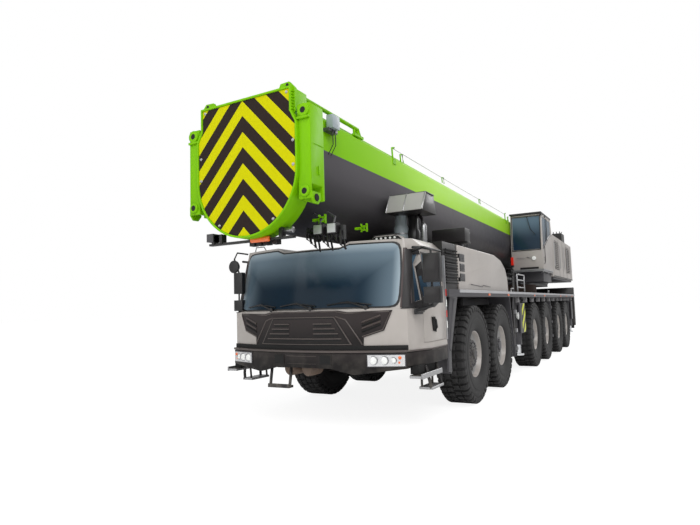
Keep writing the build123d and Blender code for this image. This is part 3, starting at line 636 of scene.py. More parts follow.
def evaluated(mesh, kind, fill):
    """What one modifier makes of a mesh, as a plain mesh."""
    obj = bpy.data.objects.new("draft", mesh)
    bpy.context.scene.collection.objects.link(obj)
    fill(obj.modifiers.new("step", kind))
    bpy.context.view_layer.update()
    result = bpy.data.meshes.new_from_object(obj.evaluated_get(bpy.context.evaluated_depsgraph_get()))
    bpy.data.objects.remove(obj)
    return result


def rounded(mesh, width, segments=2):
    """A mesh with its sharp edges rounded."""
    def fill(mod):
        mod.width = width
        mod.segments = segments
        mod.limit_method = "ANGLE"
        mod.angle_limit = CREASE
    return evaluated(mesh, "BEVEL", fill)


def carved(mesh, *cutters, operation="DIFFERENCE"):
    """A mesh with other forms cut away from it, or what they have in common with it."""
    for cutter in cutters:
        tool = bpy.data.objects.new("tool", cutter.baked() if isinstance(cutter, Form) else cutter)
        bpy.context.scene.collection.objects.link(tool)

        def fill(mod):
            mod.object = tool
            mod.operation = operation
            mod.solver = "EXACT"
        mesh = evaluated(mesh, "BOOLEAN", fill)
        bpy.data.objects.remove(tool)
    return mesh


def painted(mesh, paint):
    """Give each face one finish, or the one that a rule names for its middle and its normal."""
    looks = []
    for poly in mesh.polygons:
        look = paint if isinstance(paint, str) else paint(poly.center - Vector((ORIGIN, 0, 0)), poly.normal)
        if look not in looks:
            looks.append(look)
        poly.material_index = looks.index(look)
    mesh.materials.clear()
    for look in looks:
        mesh.materials.append(finish(look))


def shaped(name, body, mesh, paint, bevel=0.008, stands_for=()):
    """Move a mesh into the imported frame, paint it, round it and link it as a piece."""
    mesh.transform(Matrix.Translation((ORIGIN, 0, 0)))
    painted(mesh, paint)
    if bevel:
        mesh = rounded(mesh, bevel)
    smooth(mesh)
    piece(name, mesh, body, stands_for)


def packed(node):
    """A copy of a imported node's mesh with flat faces whole, with x from the first axle."""
    form = bmesh.new()
    form.from_mesh(frame["nodes"][node].data)
    bmesh.ops.remove_doubles(form, verts=form.verts, dist=SAME_PACKED_SPOT)
    bmesh.ops.dissolve_limit(form, angle_limit=FLAT, verts=form.verts, edges=form.edges)
    mesh = bpy.data.meshes.new(node + "_skin")
    form.to_mesh(mesh)
    form.free()
    mesh.transform(Matrix.Translation((-ORIGIN, 0, 0)))
    return mesh


def dressed(node, paint, width=0.006):
    """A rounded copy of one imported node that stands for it, in one finish or by a rule."""
    shaped(node + "_skin", frame["nodes"][node]["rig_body"], packed(node), paint, width, (node,))


# ------------------------------------------------------- copies by geometry nodes
def copies_tree():
    """A node tree that repeats its mesh, each copy turned one step further about the origin."""
    name = "Copies around"
    if name in bpy.data.node_groups:
        return bpy.data.node_groups[name]
    tree = bpy.data.node_groups.new(name, "GeometryNodeTree")
    for socket, kind in (("Mesh", "Geometry"), ("Count", "Int"), ("Step", "Vector"),
                         ("Finish", "Material")):
        tree.interface.new_socket(socket, in_out="INPUT", socket_type="NodeSocket" + kind)
    tree.interface.new_socket("Mesh", in_out="OUTPUT", socket_type="NodeSocketGeometry")
    nodes = tree.nodes
    start = nodes.new("NodeGroupInput")
    end = nodes.new("NodeGroupOutput")
    line = nodes.new("GeometryNodeMeshLine")
    line.mode = "OFFSET"
    line.inputs["Offset"].default_value = (0, 0, 0)
    index = nodes.new("GeometryNodeInputIndex")
    turn = nodes.new("ShaderNodeVectorMath")
    turn.operation = "SCALE"
    place = nodes.new("GeometryNodeInstanceOnPoints")
    real = nodes.new("GeometryNodeRealizeInstances")
    coat = nodes.new("GeometryNodeSetMaterial")
    for output, socket in (
            (start.outputs["Count"], line.inputs["Count"]), (start.outputs["Step"], turn.inputs[0]),
            (index.outputs[0], turn.inputs["Scale"]), (turn.outputs[0], place.inputs["Rotation"]),
            (line.outputs[0], place.inputs["Points"]), (start.outputs["Mesh"], place.inputs["Instance"]),
            (place.outputs[0], real.inputs[0]), (real.outputs[0], coat.inputs["Geometry"]),
            (start.outputs["Finish"], coat.inputs["Material"]), (coat.outputs[0], end.inputs[0])):
        tree.links.new(output, socket)
    return tree


def copies(form, count, bevel=0.0):
    """A form repeated evenly about the y axis by the node tree, as a plain mesh of one finish."""
    look = finish(form.looks[0])
    mesh = form.baked(bevel)

    def fill(mod):
        tree = copies_tree()
        keys = {item.name: item.identifier for item in tree.interface.items_tree if item.in_out == "INPUT"}
        mod.node_group = tree
        mod[keys["Count"]] = count
        mod[keys["Step"]] = (0, 2 * math.pi / count, 0)
        mod[keys["Finish"]] = look
    return evaluated(mesh, "NODES", fill)


# ----------------------------------------------------------------- settings
def colour(name, note, *display):
    """A paint colour that is given as it is shown."""
    return bpy.props.FloatVectorProperty(name=name, description=note, default=linear(*display),
                                         subtype="COLOR")


def length(name, note, value):
    """A length in metres."""
    return bpy.props.FloatProperty(name=name, description=note, default=value, unit="LENGTH")


def angle(name, note, degrees):
    """An angle that is given in degrees."""
    return bpy.props.FloatProperty(name=name, description=note, default=math.radians(degrees),
                                   subtype="ANGLE")


class CraneColours(bpy.types.PropertyGroup):
    """Paint colours in linear light, and the sizes of the painted patterns."""
    grey: colour("Cab grey", "Cab, hoods and housing", 0.70, 0.675, 0.655)
    green: colour("Lime", "Boom band and head", 0.47, 0.725, 0.0)
    slate: colour("Slate", "Lower sides of the boom", 0.31, 0.30, 0.315)
    charcoal: colour("Charcoal", "Nose panel and bumper", 0.215, 0.19, 0.19)
    pillar: colour("Pillar", "Pillars beside the windscreen", 0.30, 0.25, 0.25)
    frame: colour("Frame grey", "Deck and chassis", 0.56, 0.555, 0.56)
    band_low: length("Band", "Lower edge of the lime band", 3.345)
    chevron_apex: length("Apex", "Height of the first chevron", 3.85)
    chevron_pitch: length("Pitch", "Height from chevron to chevron", 0.357)
    chevron_yellow: length("Yellow", "Height of each yellow bar", 0.172)
    chevron_lean: angle("Lean", "Slope of the chevrons' legs", 47)


class CraneView(bpy.types.PropertyGroup):
    """Where the camera stands, from the first axle."""
    ahead: length("Ahead", "Camera ahead of the first axle", 8.036)
    aside: length("Aside", "Camera to the crane's left", 3.783)
    height: length("Height", "Camera above the ground", 1.518)
    heading: angle("Heading", "Turn of the view from +X", 209.16)
    pitch: angle("Pitch", "Upward tilt of the view", 4.76)
    roll: angle("Roll", "Lean of the view", -1.685)
    lens: bpy.props.FloatProperty(name="Lens", description="Focal length on a 36 mm sensor", default=27.11,
                                  unit="CAMERA")


# -------------------------------------------------------------------- stage
LAMPS = [
    # name, place from the first axle, size, power, aim
    ("key", (12.0, 10.0, 15.0), 12.0, 2100, (-2.0, 0.0, 1.5)),
    ("front", (16.0, -6.0, 8.0), 12.0, 650, (0.0, 0.0, 1.8)),
    ("back", (-22.0, 6.0, 14.0), 12.0, 1500, (-8.0, 0.0, 2.0)),
]


def pale_floor():
    """A floor that looks white apart from the crane's shadow."""
    f = Finish("Pale floor", roughness=0.9)
    f.set("Base Color", f.blend(f.noise(0.4, 3), (0.88, 0.88, 0.88), (0.92, 0.92, 0.92)))
    glow = f.add("ShaderNodeEmission", (), {"Color": (1, 1, 1, 1), "Strength": 1.25})
    seen = f.out(f.add("ShaderNodeLightPath"), "Is Camera Ray")
    mix = f.add("ShaderNodeMixShader", (), {0: seen * 0.7})
    f.tree.links.new(f.shader.outputs[0], mix.inputs[1])
    f.tree.links.new(glow.outputs[0], mix.inputs[2])
    f.tree.links.new(mix.outputs[0], f.tree.nodes["Material Output"].inputs["Surface"])
    return f.material


def white_world(scene):
    """Soft even light, seen by the camera as plain white."""
    scene.world = bpy.data.worlds.new("Studio")
    scene.world.use_nodes = True
    tree = scene.world.node_tree
    soft = tree.nodes["Background"]
    soft.inputs["Color"].default_value = (1, 1, 1, 1)
    soft.inputs["Strength"].default_value = 0.5
    plain = tree.nodes.new("ShaderNodeBackground")
    plain.inputs["Color"].default_value = (1, 1, 1, 1)
    path = tree.nodes.new("ShaderNodeLightPath")
    mix = tree.nodes.new("ShaderNodeMixShader")
    tree.links.new(path.outputs["Is Camera Ray"], mix.inputs[0])
    tree.links.new(soft.outputs[0], mix.inputs[1])
    tree.links.new(plain.outputs[0], mix.inputs[2])
    tree.links.new(mix.outputs[0], tree.nodes["World Output"].inputs["Surface"])


class CRANE_OT_stage(bpy.types.Operator):
    """Set the floor, the soft lamps, the world and the camera"""
    bl_idname = "crane.stage"
    bl_label = "Stage"

    def execute(self, context):
        scene = context.scene
        scene.view_settings.view_transform = "Standard"
        reach = 120.0
        mesh = bpy.data.meshes.new("floor")
        mesh.from_pydata([(-reach, -reach, 0), (reach, -reach, 0), (reach, reach, 0), (-reach, reach, 0)],
                         [], [(0, 1, 2, 3)])
        mesh.materials.append(pale_floor())
        floor = bpy.data.objects.new("floor", mesh)
        scene.collection.objects.link(floor)
        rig.stage(floor)
        white_world(scene)
        base = Vector((ORIGIN, 0, 0))
        for name, place, size, power, aim in LAMPS:
            light = bpy.data.lights.new(name, "AREA")
            light.size = size
            light.energy = power
            obj = bpy.data.objects.new(name, light)
            obj.location = base + Vector(place)
            obj.rotation_euler = (Vector(aim) - Vector(place)).to_track_quat("-Z", "Y").to_euler()
            scene.collection.objects.link(obj)
        scene.camera = self.camera(scene, base)
        return {"FINISHED"}

    def camera(self, scene, base):
        """The camera, placed and turned as the scene's view settings say."""
        view = scene.crane_view
        data = bpy.data.cameras.new("view")
        data.sensor_width = 36.0
        data.lens = view.lens
        data.clip_end = 500
        eye = bpy.data.objects.new("view", data)
        scene.collection.objects.link(eye)
        ahead = Vector((math.cos(view.pitch) * math.cos(view.heading),
                        math.cos(view.pitch) * math.sin(view.heading), math.sin(view.pitch)))
        level = ahead.cross(Vector((0, 0, 1))).normalized()
        rise = level.cross(ahead)
        right = level * math.cos(view.roll) + rise * math.sin(view.roll)
        up = rise * math.cos(view.roll) - level * math.sin(view.roll)
        turn = Matrix((right, up, -ahead)).transposed().to_4x4()
        eye.matrix_world = Matrix.Translation(base + Vector((view.ahead, view.aside, view.height))) @ turn
        return eye


# ------------------------------------------------------------------- wheels
LUG_COUNT = 38
LUG_DEPTH = 0.045
DRIVEN = (1, 5)  # the axles whose hubs are the large, driven ones
WHEEL_TURN = 0.37  # each axle's wheels are turned this much further, so that they do not look alike


def tread_lugs():
    """Shoulder lugs and staggered middle blocks, repeated round the tyre."""
    pitch = 2 * math.pi / LUG_COUNT
    top, base = TYRE_R, TYRE_R - LUG_DEPTH
    lug = Form("lug", None, "rubber")
    for side in (1, -1):
        outline = [(0.115, base), (0.110, top), (0.190, top), (0.219, top - 0.030),
                   (0.2215, top - 0.085), (0.200, top - 0.095)]
        lug.slab([(side * y, z) for y, z in outline], "x", (-0.038, 0.038))
        lug.slab([(side * 0.008, base), (side * 0.008, top), (side * 0.096, top), (side * 0.096, base)],
                 "x", (-0.030, 0.042) if side > 0 else (-0.042, 0.030))
    lug.mesh.verts.ensure_lookup_table()
    for vert in lug.mesh.verts:
        if vert.co.y < 0:
            turn = Matrix.Rotation(pitch / 2, 3, "Y")
            vert.co = turn @ vert.co
    return copies(lug, LUG_COUNT, bevel=0.004)


def studs(radius, along, size, count, look):
    """Bolt heads in a ring on a wheel's face."""
    nut = Form("nut", None, look)
    nut.lathe([(along, size), (along + size * 1.2, size * 0.9), (along + size * 1.2, 0.3 * size)],
              (0, 0, radius), "y", look, 6)
    return copies(nut, count)


def wheel_mesh(driven):
    """Tyre, rim and hub about the origin, facing out along +Y, from profiles of (y, radius)."""
    wheel = Form("wheel", None, "rubber", "grey", "rim", "black", "hollow")
    wall = [(0.150, 0.345), (0.176, 0.362), (0.196, 0.385), (0.207, 0.420), (0.2195, 0.475),
            (0.2215, 0.530),
            (0.2215, 0.536), (0.2175, 0.540), (0.2165, 0.575), (0.2185, 0.580), (0.2150, 0.620),
            (0.2080, 0.655), (0.1900, 0.700), (0.1600, 0.712)]
    profile = wall + [(-y, r) for y, r in reversed(wall)]
    wheel.lathe(profile, (0, 0, 0), "y", sides=72, looks=["rubber"] * (len(profile) - 1))
    rim = [(0.150, 0.345), (0.163, 0.347), (0.168, 0.352), (0.172, 0.349), (0.168, 0.338), (0.150, 0.330),
           (0.105, 0.322), (0.092, 0.312), (0.082, 0.290), (0.080, 0.200), (0.040, 0.190)]
    wheel.lathe(rim, (0, 0, 0), "y", sides=64, looks=["grey"] * 6 + ["rim"] * 4)
    back = [(-0.150, 0.345), (-0.160, 0.346), (-0.150, 0.330), (-0.040, 0.312), (0.020, 0.300),
            (0.030, 0.120)]
    wheel.lathe(back, (0, 0, 0), "y", sides=48, looks=["black"] * (len(back) - 1))
    # Near-black hand holes in the rim, for painted shade.
    hand_hole = Form("hole", None, "hollow")
    hand_hole.lathe([(0.076, 0.030), (0.0835, 0.030)], (0, 0, 0.262), "y", "hollow", 16)
    wheel.merge(copies(hand_hole, 10), "hollow")
    if driven:
        hub = [(0.040, 0.208), (0.128, 0.208), (0.140, 0.196), (0.146, 0.150), (0.158, 0.140),
               (0.160, 0.085), (0.178, 0.075), (0.180, 0.020)]
        wheel.lathe(hub, (0, 0, 0), "y", "black", 40)
        wheel.merge(studs(0.172, 0.142, 0.011, 20, "casing"), "casing")
        wheel.merge(studs(0.110, 0.158, 0.008, 10, "casing"), "casing")
    else:
        hub = [(0.040, 0.150), (0.120, 0.142), (0.132, 0.130), (0.138, 0.090), (0.160, 0.084),
               (0.165, 0.020)]
        wheel.lathe(hub, (0, 0, 0), "y", "casing", 32)
        wheel.merge(studs(0.108, 0.134, 0.009, 12, "black"), "black")
    wheel.merge(studs(0.226, 0.080, 0.015, 10, "steel"), "steel")
    wheel.merge(tread_lugs(), "rubber")
    return wheel.baked()


class CRANE_OT_wheels(bpy.types.Operator):
    """Make the twelve tyres with their lugs, rims and hubs"""
    bl_idname = "crane.wheels"
    bl_label = "Wheels"

    def execute(self, context):
        meshes = {True: wheel_mesh(True), False: wheel_mesh(False)}
        for number, x in enumerate(AXLES, 1):
            for name, side in SIDES:
                node = f"wheel_{number}_{name}"
                mesh = meshes[number in DRIVEN].copy()
                turn = Matrix.Rotation(0.0 if side > 0 else math.pi, 4, "Z")
                spin = Matrix.Rotation(WHEEL_TURN * number, 4, "Y")
                mesh.transform(Matrix.Translation((ORIGIN + x, side * WHEEL_Y, TYRE_R)) @ turn @ spin)
                piece(node + "_dressed", mesh, frame["nodes"][node]["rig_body"], (node,), "tyre")
        return {"FINISHED"}
# --------------------------------------------------------------------- boom
HEAD_FRONT = 3.60
HEAD_BACK = 3.29


def board_outline(grow=0.0):
    """The board's outline: square shoulders, a slant at each side and a round belly."""
    half, narrow, top = 0.688 + grow, 0.622 + grow, 3.848 + grow
    belly = [(half * math.cos(t), 3.010 - half * math.sin(t)) for t in spread(0.0, math.pi, 33)]
    return belly + [(-half, 3.475), (-narrow, 3.60), (-narrow, top), (narrow, top), (narrow, 3.60),
                    (half, 3.475)]


class CRANE_OT_boom(bpy.types.Operator):
    """Paint the boom and make its head with lugs, bolts, chevrons, lamps and rail"""
    bl_idname = "crane.boom"
    bl_label = "Boom"

    def execute(self, context):
        shell = packed("boom_shell")
        # The shell's front edge is carried on to the back of this head's collar.
        for vert in shell.vertices:
            if vert.co.x > 2.9:
                vert.co.x = HEAD_BACK + 0.005
        shaped("boom_shell_skin", "boom", shell, "boom", 0.006, ("boom_shell",))
        self.head()
        self.brackets()
        self.under_head()
        self.shoulder_rail()
        self.lifeline()
        return {"FINISHED"}

    def head(self):
        """The collar with its rim, lugs and bolts, and the striped board in it."""
        solid = Form("collar", None, "green")
        solid.slab(board_outline(0.024), "x", (HEAD_BACK, HEAD_FRONT))
        room = Form("room", None, "green")
        room.slab(board_outline(0.001), "x", (HEAD_FRONT - 0.030, HEAD_FRONT + 0.1))
        shaped("boom_head_collar", "boom", carved(solid.baked(), room), "green", 0.005,
               ("boom_head",))
        board = Form("boom_head_board_film", "boom", "chevron")
        board.slab(board_outline(), "x", (HEAD_FRONT - 0.040, HEAD_FRONT - 0.014))
        board.done(0.002, 1, stands_for=("boom_head_board",))
        kit = Form("boom_head_fittings", "boom", "green", "steel", "hollow", "casing")
        bolt = [(0.0, 0.012), (0.010, 0.011), (0.011, 0.004)]
        for side in (1, -1):
            lug = [(0.44, 3.84), (0.485, 3.935), (0.60, 3.94), (0.672, 3.86), (0.676, 3.60), (0.60, 3.60)]
            kit.slab([(side * y, z) for y, z in lug], "x", (HEAD_FRONT - 0.085, HEAD_FRONT - 0.045),
                     "green")
            kit.block((HEAD_BACK + 0.02, HEAD_FRONT - 0.05), across(side, 0.50, 0.57), (3.865, 3.925),
                      "green")
            # A near-black disc in each lug, for the painted shade of its hole.
            kit.lathe([(0.0, 0.020), (0.004, 0.020)], (HEAD_FRONT - 0.046, side * 0.575, 3.905), "x",
                      "hollow", 14)
            for z in spread(3.59, 3.82, 8):
                kit.lathe(bolt, (HEAD_FRONT - 0.046, side * 0.660, z), "x", "green", 6)
                kit.lathe([(a * side, b) for a, b in bolt], (3.580, side * 0.646, z), "y", "green", 6)
            for y, z in ((0.585, 3.815), (0.655, 3.28), (0.655, 3.02), (0.38, 2.47)):
                kit.lathe([(0.0, 0.018), (0.004, 0.018), (0.005, 0.011), (0.012, 0.010)],
                          (HEAD_FRONT - 0.014, side * y, z), "x", "steel", 12)
        kit.done(0.003, 1)

    def brackets(self):
        """The box brackets beside the head, with pin caps, a ledge and an open foot."""
        for name, side in SIDES:
            case = Form("case", None, "green")
            case.block((3.30, 3.565), across(side, 0.70, 0.86), (2.640, 3.656))
            slot = Form("slot", None, "green")
            slot.block((3.345, 3.545), across(side, 0.74, 1.0), (2.50, 2.790))
            # The faces inside the foot's slot are near-black, for painted shade.
            shaped(f"boom_bracket_{name}", "boom", carved(case.baked(), slot),
                   lambda point, normal: "hollow" if 3.34 < point.x < 3.55 and point.z < 2.795
                   and abs(point.y) < 0.80 and abs(normal.x) < 0.5 else "green", 0.010)
            kit = Form(f"boom_bracket_fittings_{name}", "boom", "green", "hollow", "steel")
            for z, size in ((3.58, 0.072), (2.72, 0.060)):
                kit.lathe([(0.0, size), (0.022, size), (0.026, size * 0.9), (0.026, 0.036)],
                          (3.560, side * 0.785, z), "x", "green", 24)
                # A near-black bore in each pin cap, for painted shade.
                kit.lathe([(0.0, 0.036), (0.028, 0.034)], (3.560, side * 0.785, z), "x", "hollow", 20)
            kit.block((3.555, 3.590), across(side, 0.705, 0.86), (3.490, 3.515), "green")
            ear = [(3.40, 2.715), (3.56, 2.715), (3.56, 2.64), (3.52, 2.59), (3.44, 2.59), (3.39, 2.65)]
            kit.slab([(x, z) for x, z in ear], "y", across(side, 0.845, 0.868), "green")
            # A near-black hole in the ear, for painted shade.
            kit.lathe([(0.0, 0.040), (side * 0.012, 0.038), (side * 0.014, 0.012)],
                      (3.485, side * 0.868, 2.655),
                      "y", "hollow", 20)
            kit.block((3.30, 3.50), across(side, 0.855, 0.866), (3.225, 3.235), "green")
            kit.tube([(3.42, side * 0.868, 2.90), (3.42, side * 0.868, 3.00)], 0.008, "green", 6)
            kit.done(0.003, 1)

    def under_head(self):
        """The black cross bar with its lamps, hoses and lime brackets below the head."""
        kit = Form("boom_head_lamps", "boom", "black", "orange_lamp", "silver", "casing", "green")
        kit.block((3.37, 3.43), (-0.69, 0.52), (2.275, 2.300), "black")
        for y in (-0.62, -0.50, 0.36):
            kit.block((3.36, 3.44), (y - 0.02, y + 0.02), (2.290, 2.400), "black")
        kit.block((3.34, 3.46), (-0.70, -0.60), (2.320, 2.415), "casing")
        kit.lathe([(-0.13, 0.020), (-0.12, 0.030), (0.12, 0.030), (0.13, 0.020)],
                  (3.435, 0.08, 2.288), "y", "orange_lamp", 14)
        kit.lathe([(-0.07, 0.02), (-0.06, 0.036), (0.06, 0.036), (0.07, 0.02)], (3.36, 0.42, 2.37), "y",
                  "steel", 12)
        for y in (-0.10, 0.0, 0.10, 0.22):
            kit.block((3.28, 3.36), (y - 0.035, y + 0.035), (2.235, 2.290), "black")
        for y in (0.63, 0.81):
            kit.block((3.02, 3.10), (y - 0.062, y + 0.062), (2.325, 2.445), "black")
            kit.block((3.10, 3.112), (y - 0.052, y + 0.052), (2.336, 2.434), "silver")
            kit.tube([(3.05, y, 2.44), (3.02, y, 2.52), (2.95, y - 0.14, 2.60)], 0.014, "casing")
        for x, y in ((3.00, 0.60), (2.10, 0.66)):
            for z in (2.475, 2.525):
                kit.block((x, x + 0.04), (y, y + 0.085), (z, z + 0.014), "green")
            for end in (y, y + 0.078):
                kit.block((x, x + 0.04), (end, end + 0.009), (2.46, 2.565), "green")
            kit.block((x - 0.05, x + 0.01), (y - 0.10, y + 0.02), (2.50, 2.53), "green")
        for number, y in enumerate(spread(0.46, 0.90, 9)):
            dip = 0.05 * (number % 3)
            loop = [(3.06, y, 2.36), (3.10, y + 0.02, 2.29 - dip), (3.03, y + 0.04, 2.25 - dip),
                    (2.92, y - 0.05, 2.30), (2.80, y - 0.16, 2.46)]
            kit.tube(loop, 0.012, "black", 6)
            kit.block((2.98, 3.04), (y - 0.02, y + 0.025), (2.36 - dip, 2.42), "plastic")
        kit.done()
        box = Form("boom_side_lamp", "boom", "casing", "lamp_box")
        box.block((2.74, 2.90), (0.655, 0.745), (3.60, 3.76), "lamp_box")
        box.block((2.72, 2.92), (0.620, 0.700), (3.565, 3.605), "casing")
        for x in (2.78, 2.84):
            box.tube([(x, 0.70, 3.60), (x + 0.02, 0.715, 3.52), (x - 0.01, 0.70, 3.42),
                      (x + 0.01, 0.64, 3.30)],
                     0.006, "plastic", 6)
        box.done(0.006)

    def shoulder_rail(self):
        """The bent tube along the left shoulder, with its feet and lime end fitting."""
        rail = Form("boom_shoulder_rail", "boom", "green")
        rail.tube([(3.46, 0.60, 3.80), (3.40, 0.60, 3.845), (2.02, 0.60, 3.845), (1.96, 0.60, 3.75)], 0.022,
                  "green", 10)
        rail.tube([(2.12, 0.60, 3.76), (2.12, 0.60, 3.845)], 0.018, "green", 8)
        rail.block((1.90, 2.14), (0.575, 0.625), (3.735, 3.765), "green")
        for x, rise in ((0.92, 0.17), (-6.33, 0.20)):
            rail.tube([(x, 0.60, 3.70), (x + 0.02, 0.60, 3.79 + rise * 0.5),
                       (x - 0.06, 0.60, 3.79 + rise * 0.6)],
                      0.014, "green", 8)
            rail.tube([(x - 0.30, 0.60, 3.72), (x - 0.28, 0.60, 3.84), (x - 0.36, 0.60, 3.86),
                       (x - 0.40, 0.60, 3.74)], 0.012, "green", 8)
            rail.block((x - 0.05, x + 0.05), (0.58, 0.63), (3.62, 3.72), "green")
        rail.done()

    def lifeline(self):
        """The thin safety line along the boom's left edge, on small hoops."""
        line = Form("boom_lifeline", "boom", "steel", "green")
        line.tube([(0.90, 0.60, 3.87), (-2.5, 0.60, 3.862), (-6.33, 0.60, 3.87)], 0.005, "steel", 6)
        for x in (-1.30, -3.80):
            line.tube([(x, 0.60, 3.77), (x + 0.02, 0.60, 3.87), (x - 0.08, 0.60, 3.88),
                       (x - 0.10, 0.60, 3.77)],
                      0.010, "green", 8)
        line.done()
# ---------------------------------------------------------------------- cab
def between(y, table):
    """A value read off a short table of (distance from the centre line, value)."""
    y = abs(y)
    for (a, first), (b, second) in zip(table, table[1:]):
        if y <= b:
            return first + (second - first) * max(0.0, y - a) / (b - a)
    return table[-1][1]


def mirrored(ys):
    """The same distances on both sides of the centre line."""
    return [-y for y in reversed(ys) if y] + ys


def bowed(form, ys, low, high, out, thick, look=None, rows=4):
    """A sheet that follows the cab's bowed front between two heights that may vary with y."""
    rings = []
    for y in ys:
        front = [(nose(y, z) + out, y, z) for z in spread(low(y), high(y), rows)]
        back = [(x - thick, b, c) for x, b, c in reversed(front)]
        rings.append(front + back)
    form.prism(rings, look)


def plain_bow(form, y, z, out, thick, look, steps=9):
    """A bowed sheet of constant height."""
    bowed(form, spread(y[0], y[1], steps), lambda _: z[0], lambda _: z[1], out, thick, look, 2)


def cab_volume(inset):
    """The cab's outer form, or the room in it for a wall of that inset."""
    def ring(z, back):
        side = CAB_HALF - inset
        corner = NOSE_HALF - 0.7 * inset - (0.1 * (back - CAB_SET) / RAKE if back else 0.0)
        front = spread(-corner, corner, 21)
        plan = [(CAB_REAR + inset, side), (CAB_REAR + inset, -side), (SIDE_FRONT, -side)]
        plan += [(nose(y) - inset - back, y) for y in front] + [(SIDE_FRONT, side)]
        return [(x if x < SIDE_FRONT - 0.01 else max(x, SIDE_FRONT - back), y, z) for x, y in plan]
    body = Form("cab_plan", None, "grey")
    body.prism([ring(z, back) for z, back in (
        (0.98 + inset, 0.0), (CAB_BELT, 0.0), (CAB_BELT + 0.004, CAB_SET),
        (2.45, CAB_SET + RAKE * (2.45 - CAB_BELT)))])
    half = [(CAB_HALF, 0.9), (CAB_HALF, 1.48), (1.385, 2.25), (1.30, 2.335), (0.56, 2.335), (0.43, 2.27)]
    outline = [(y, z - inset if z > 2.0 else z) for y, z in half]
    section = Form("cab_section", None, "grey")
    section.slab(outline + [(-y, z) for y, z in reversed(outline)], "x", (1.0, 2.9))
    return carved(body.baked(), section, operation="INTERSECT")


DOOR_X = (1.330, 1.980)
DOOR_Z = (1.060, 2.170)
DOOR_PANE_X = (1.395, 1.945)
SIDE_PANE_X = (1.985, 2.165)
WALL = 0.045  # thickness of the cab's walls and doors
PANE_OUT = 0.012  # depths of a pane's outer and inner faces in the cab's outer form
PANE_IN = 0.020
SILL = [(2.19, 1.530), (1.94, 1.605), (1.39, 1.700)]


def door_cut(side, play=0.0):
    """The prism that a door fills, with play round it."""
    cut = Form("door_cut", None, "black")
    y = across(side, 1.25, 1.60)
    cut.block((DOOR_X[0] - play, DOOR_X[1] + play), y, (DOOR_Z[0] - play, DOOR_Z[1] + play))
    return cut


def window_cut(side, x, play=0.0):
    """A side window's opening over a span of x, with its sill rising to the back."""
    low = [(a, z - play) for a, z in SILL if x[0] < a < x[1]]
    ends = [(a, SILL[0][1] + (SILL[0][0] - a) * 0.205 - play) for a in x]
    top = 2.130 + play
    lean = RAKE * (top - 1.6)
    front = x[1] + play
    outline = [(x[0] - play, ends[0][1]), *reversed(low), (front, ends[1][1]),
               (front - (lean if x[1] > 2.0 else 0.0), top), (x[0] - play, top)]
    cut = Form("window_cut", None, "black")
    cut.slab([(a, z) for a, z in outline], "y", across(side, 1.15, 1.60))
    return cut


# Heights of the edges of the windscreen, the nose panel and the bumper's foot, as
# (distance from the centre line, height), and the distances at which each sheet bends.
SCREEN_TOP = [(0.0, 2.245), (0.43, 2.245), (0.56, 2.292), (1.08, 2.292), (1.13, 2.280), (1.165, 2.252),
              (1.185, 2.20), (1.200, 2.08), (1.210, 1.90)]
SCREEN_LOW = [(0.0, 1.503), (1.09, 1.503), (1.15, 1.514), (1.178, 1.535), (1.197, 1.575), (1.206, 1.66),
              (1.210, 1.88)]
SCREEN_Y = [0.0, 0.2, 0.43, 0.56, 0.8, 1.0, 1.09, 1.13, 1.15, 1.165, 1.178, 1.185, 1.197, 1.206, 1.210]
PANEL_TOP = [(0.0, 1.472), (0.50, 1.472), (0.62, 1.450), (1.15, 1.462)]
PANEL_LOW = [(0.0, 1.045), (0.809, 1.045), (0.81, 1.145), (1.05, 1.222), (1.15, 1.460)]
PANEL_Y = [0.0, 0.25, 0.50, 0.62, 0.72, 0.809, 0.81, 0.93, 1.05, 1.10, 1.15]
BUMPER_FOOT = [(0.0, 0.780), (0.40, 0.775), (0.70, 0.705), (1.00, 0.740), (NOSE_HALF, 0.775)]
BUMPER_OUT = 0.05
SLOTS = [
    # height, inner end, outer end
    (1.296, 0.19, 0.425), (1.236, 0.19, 0.465), (1.176, 0.19, 0.505), (1.114, 0.0, 0.545),
]


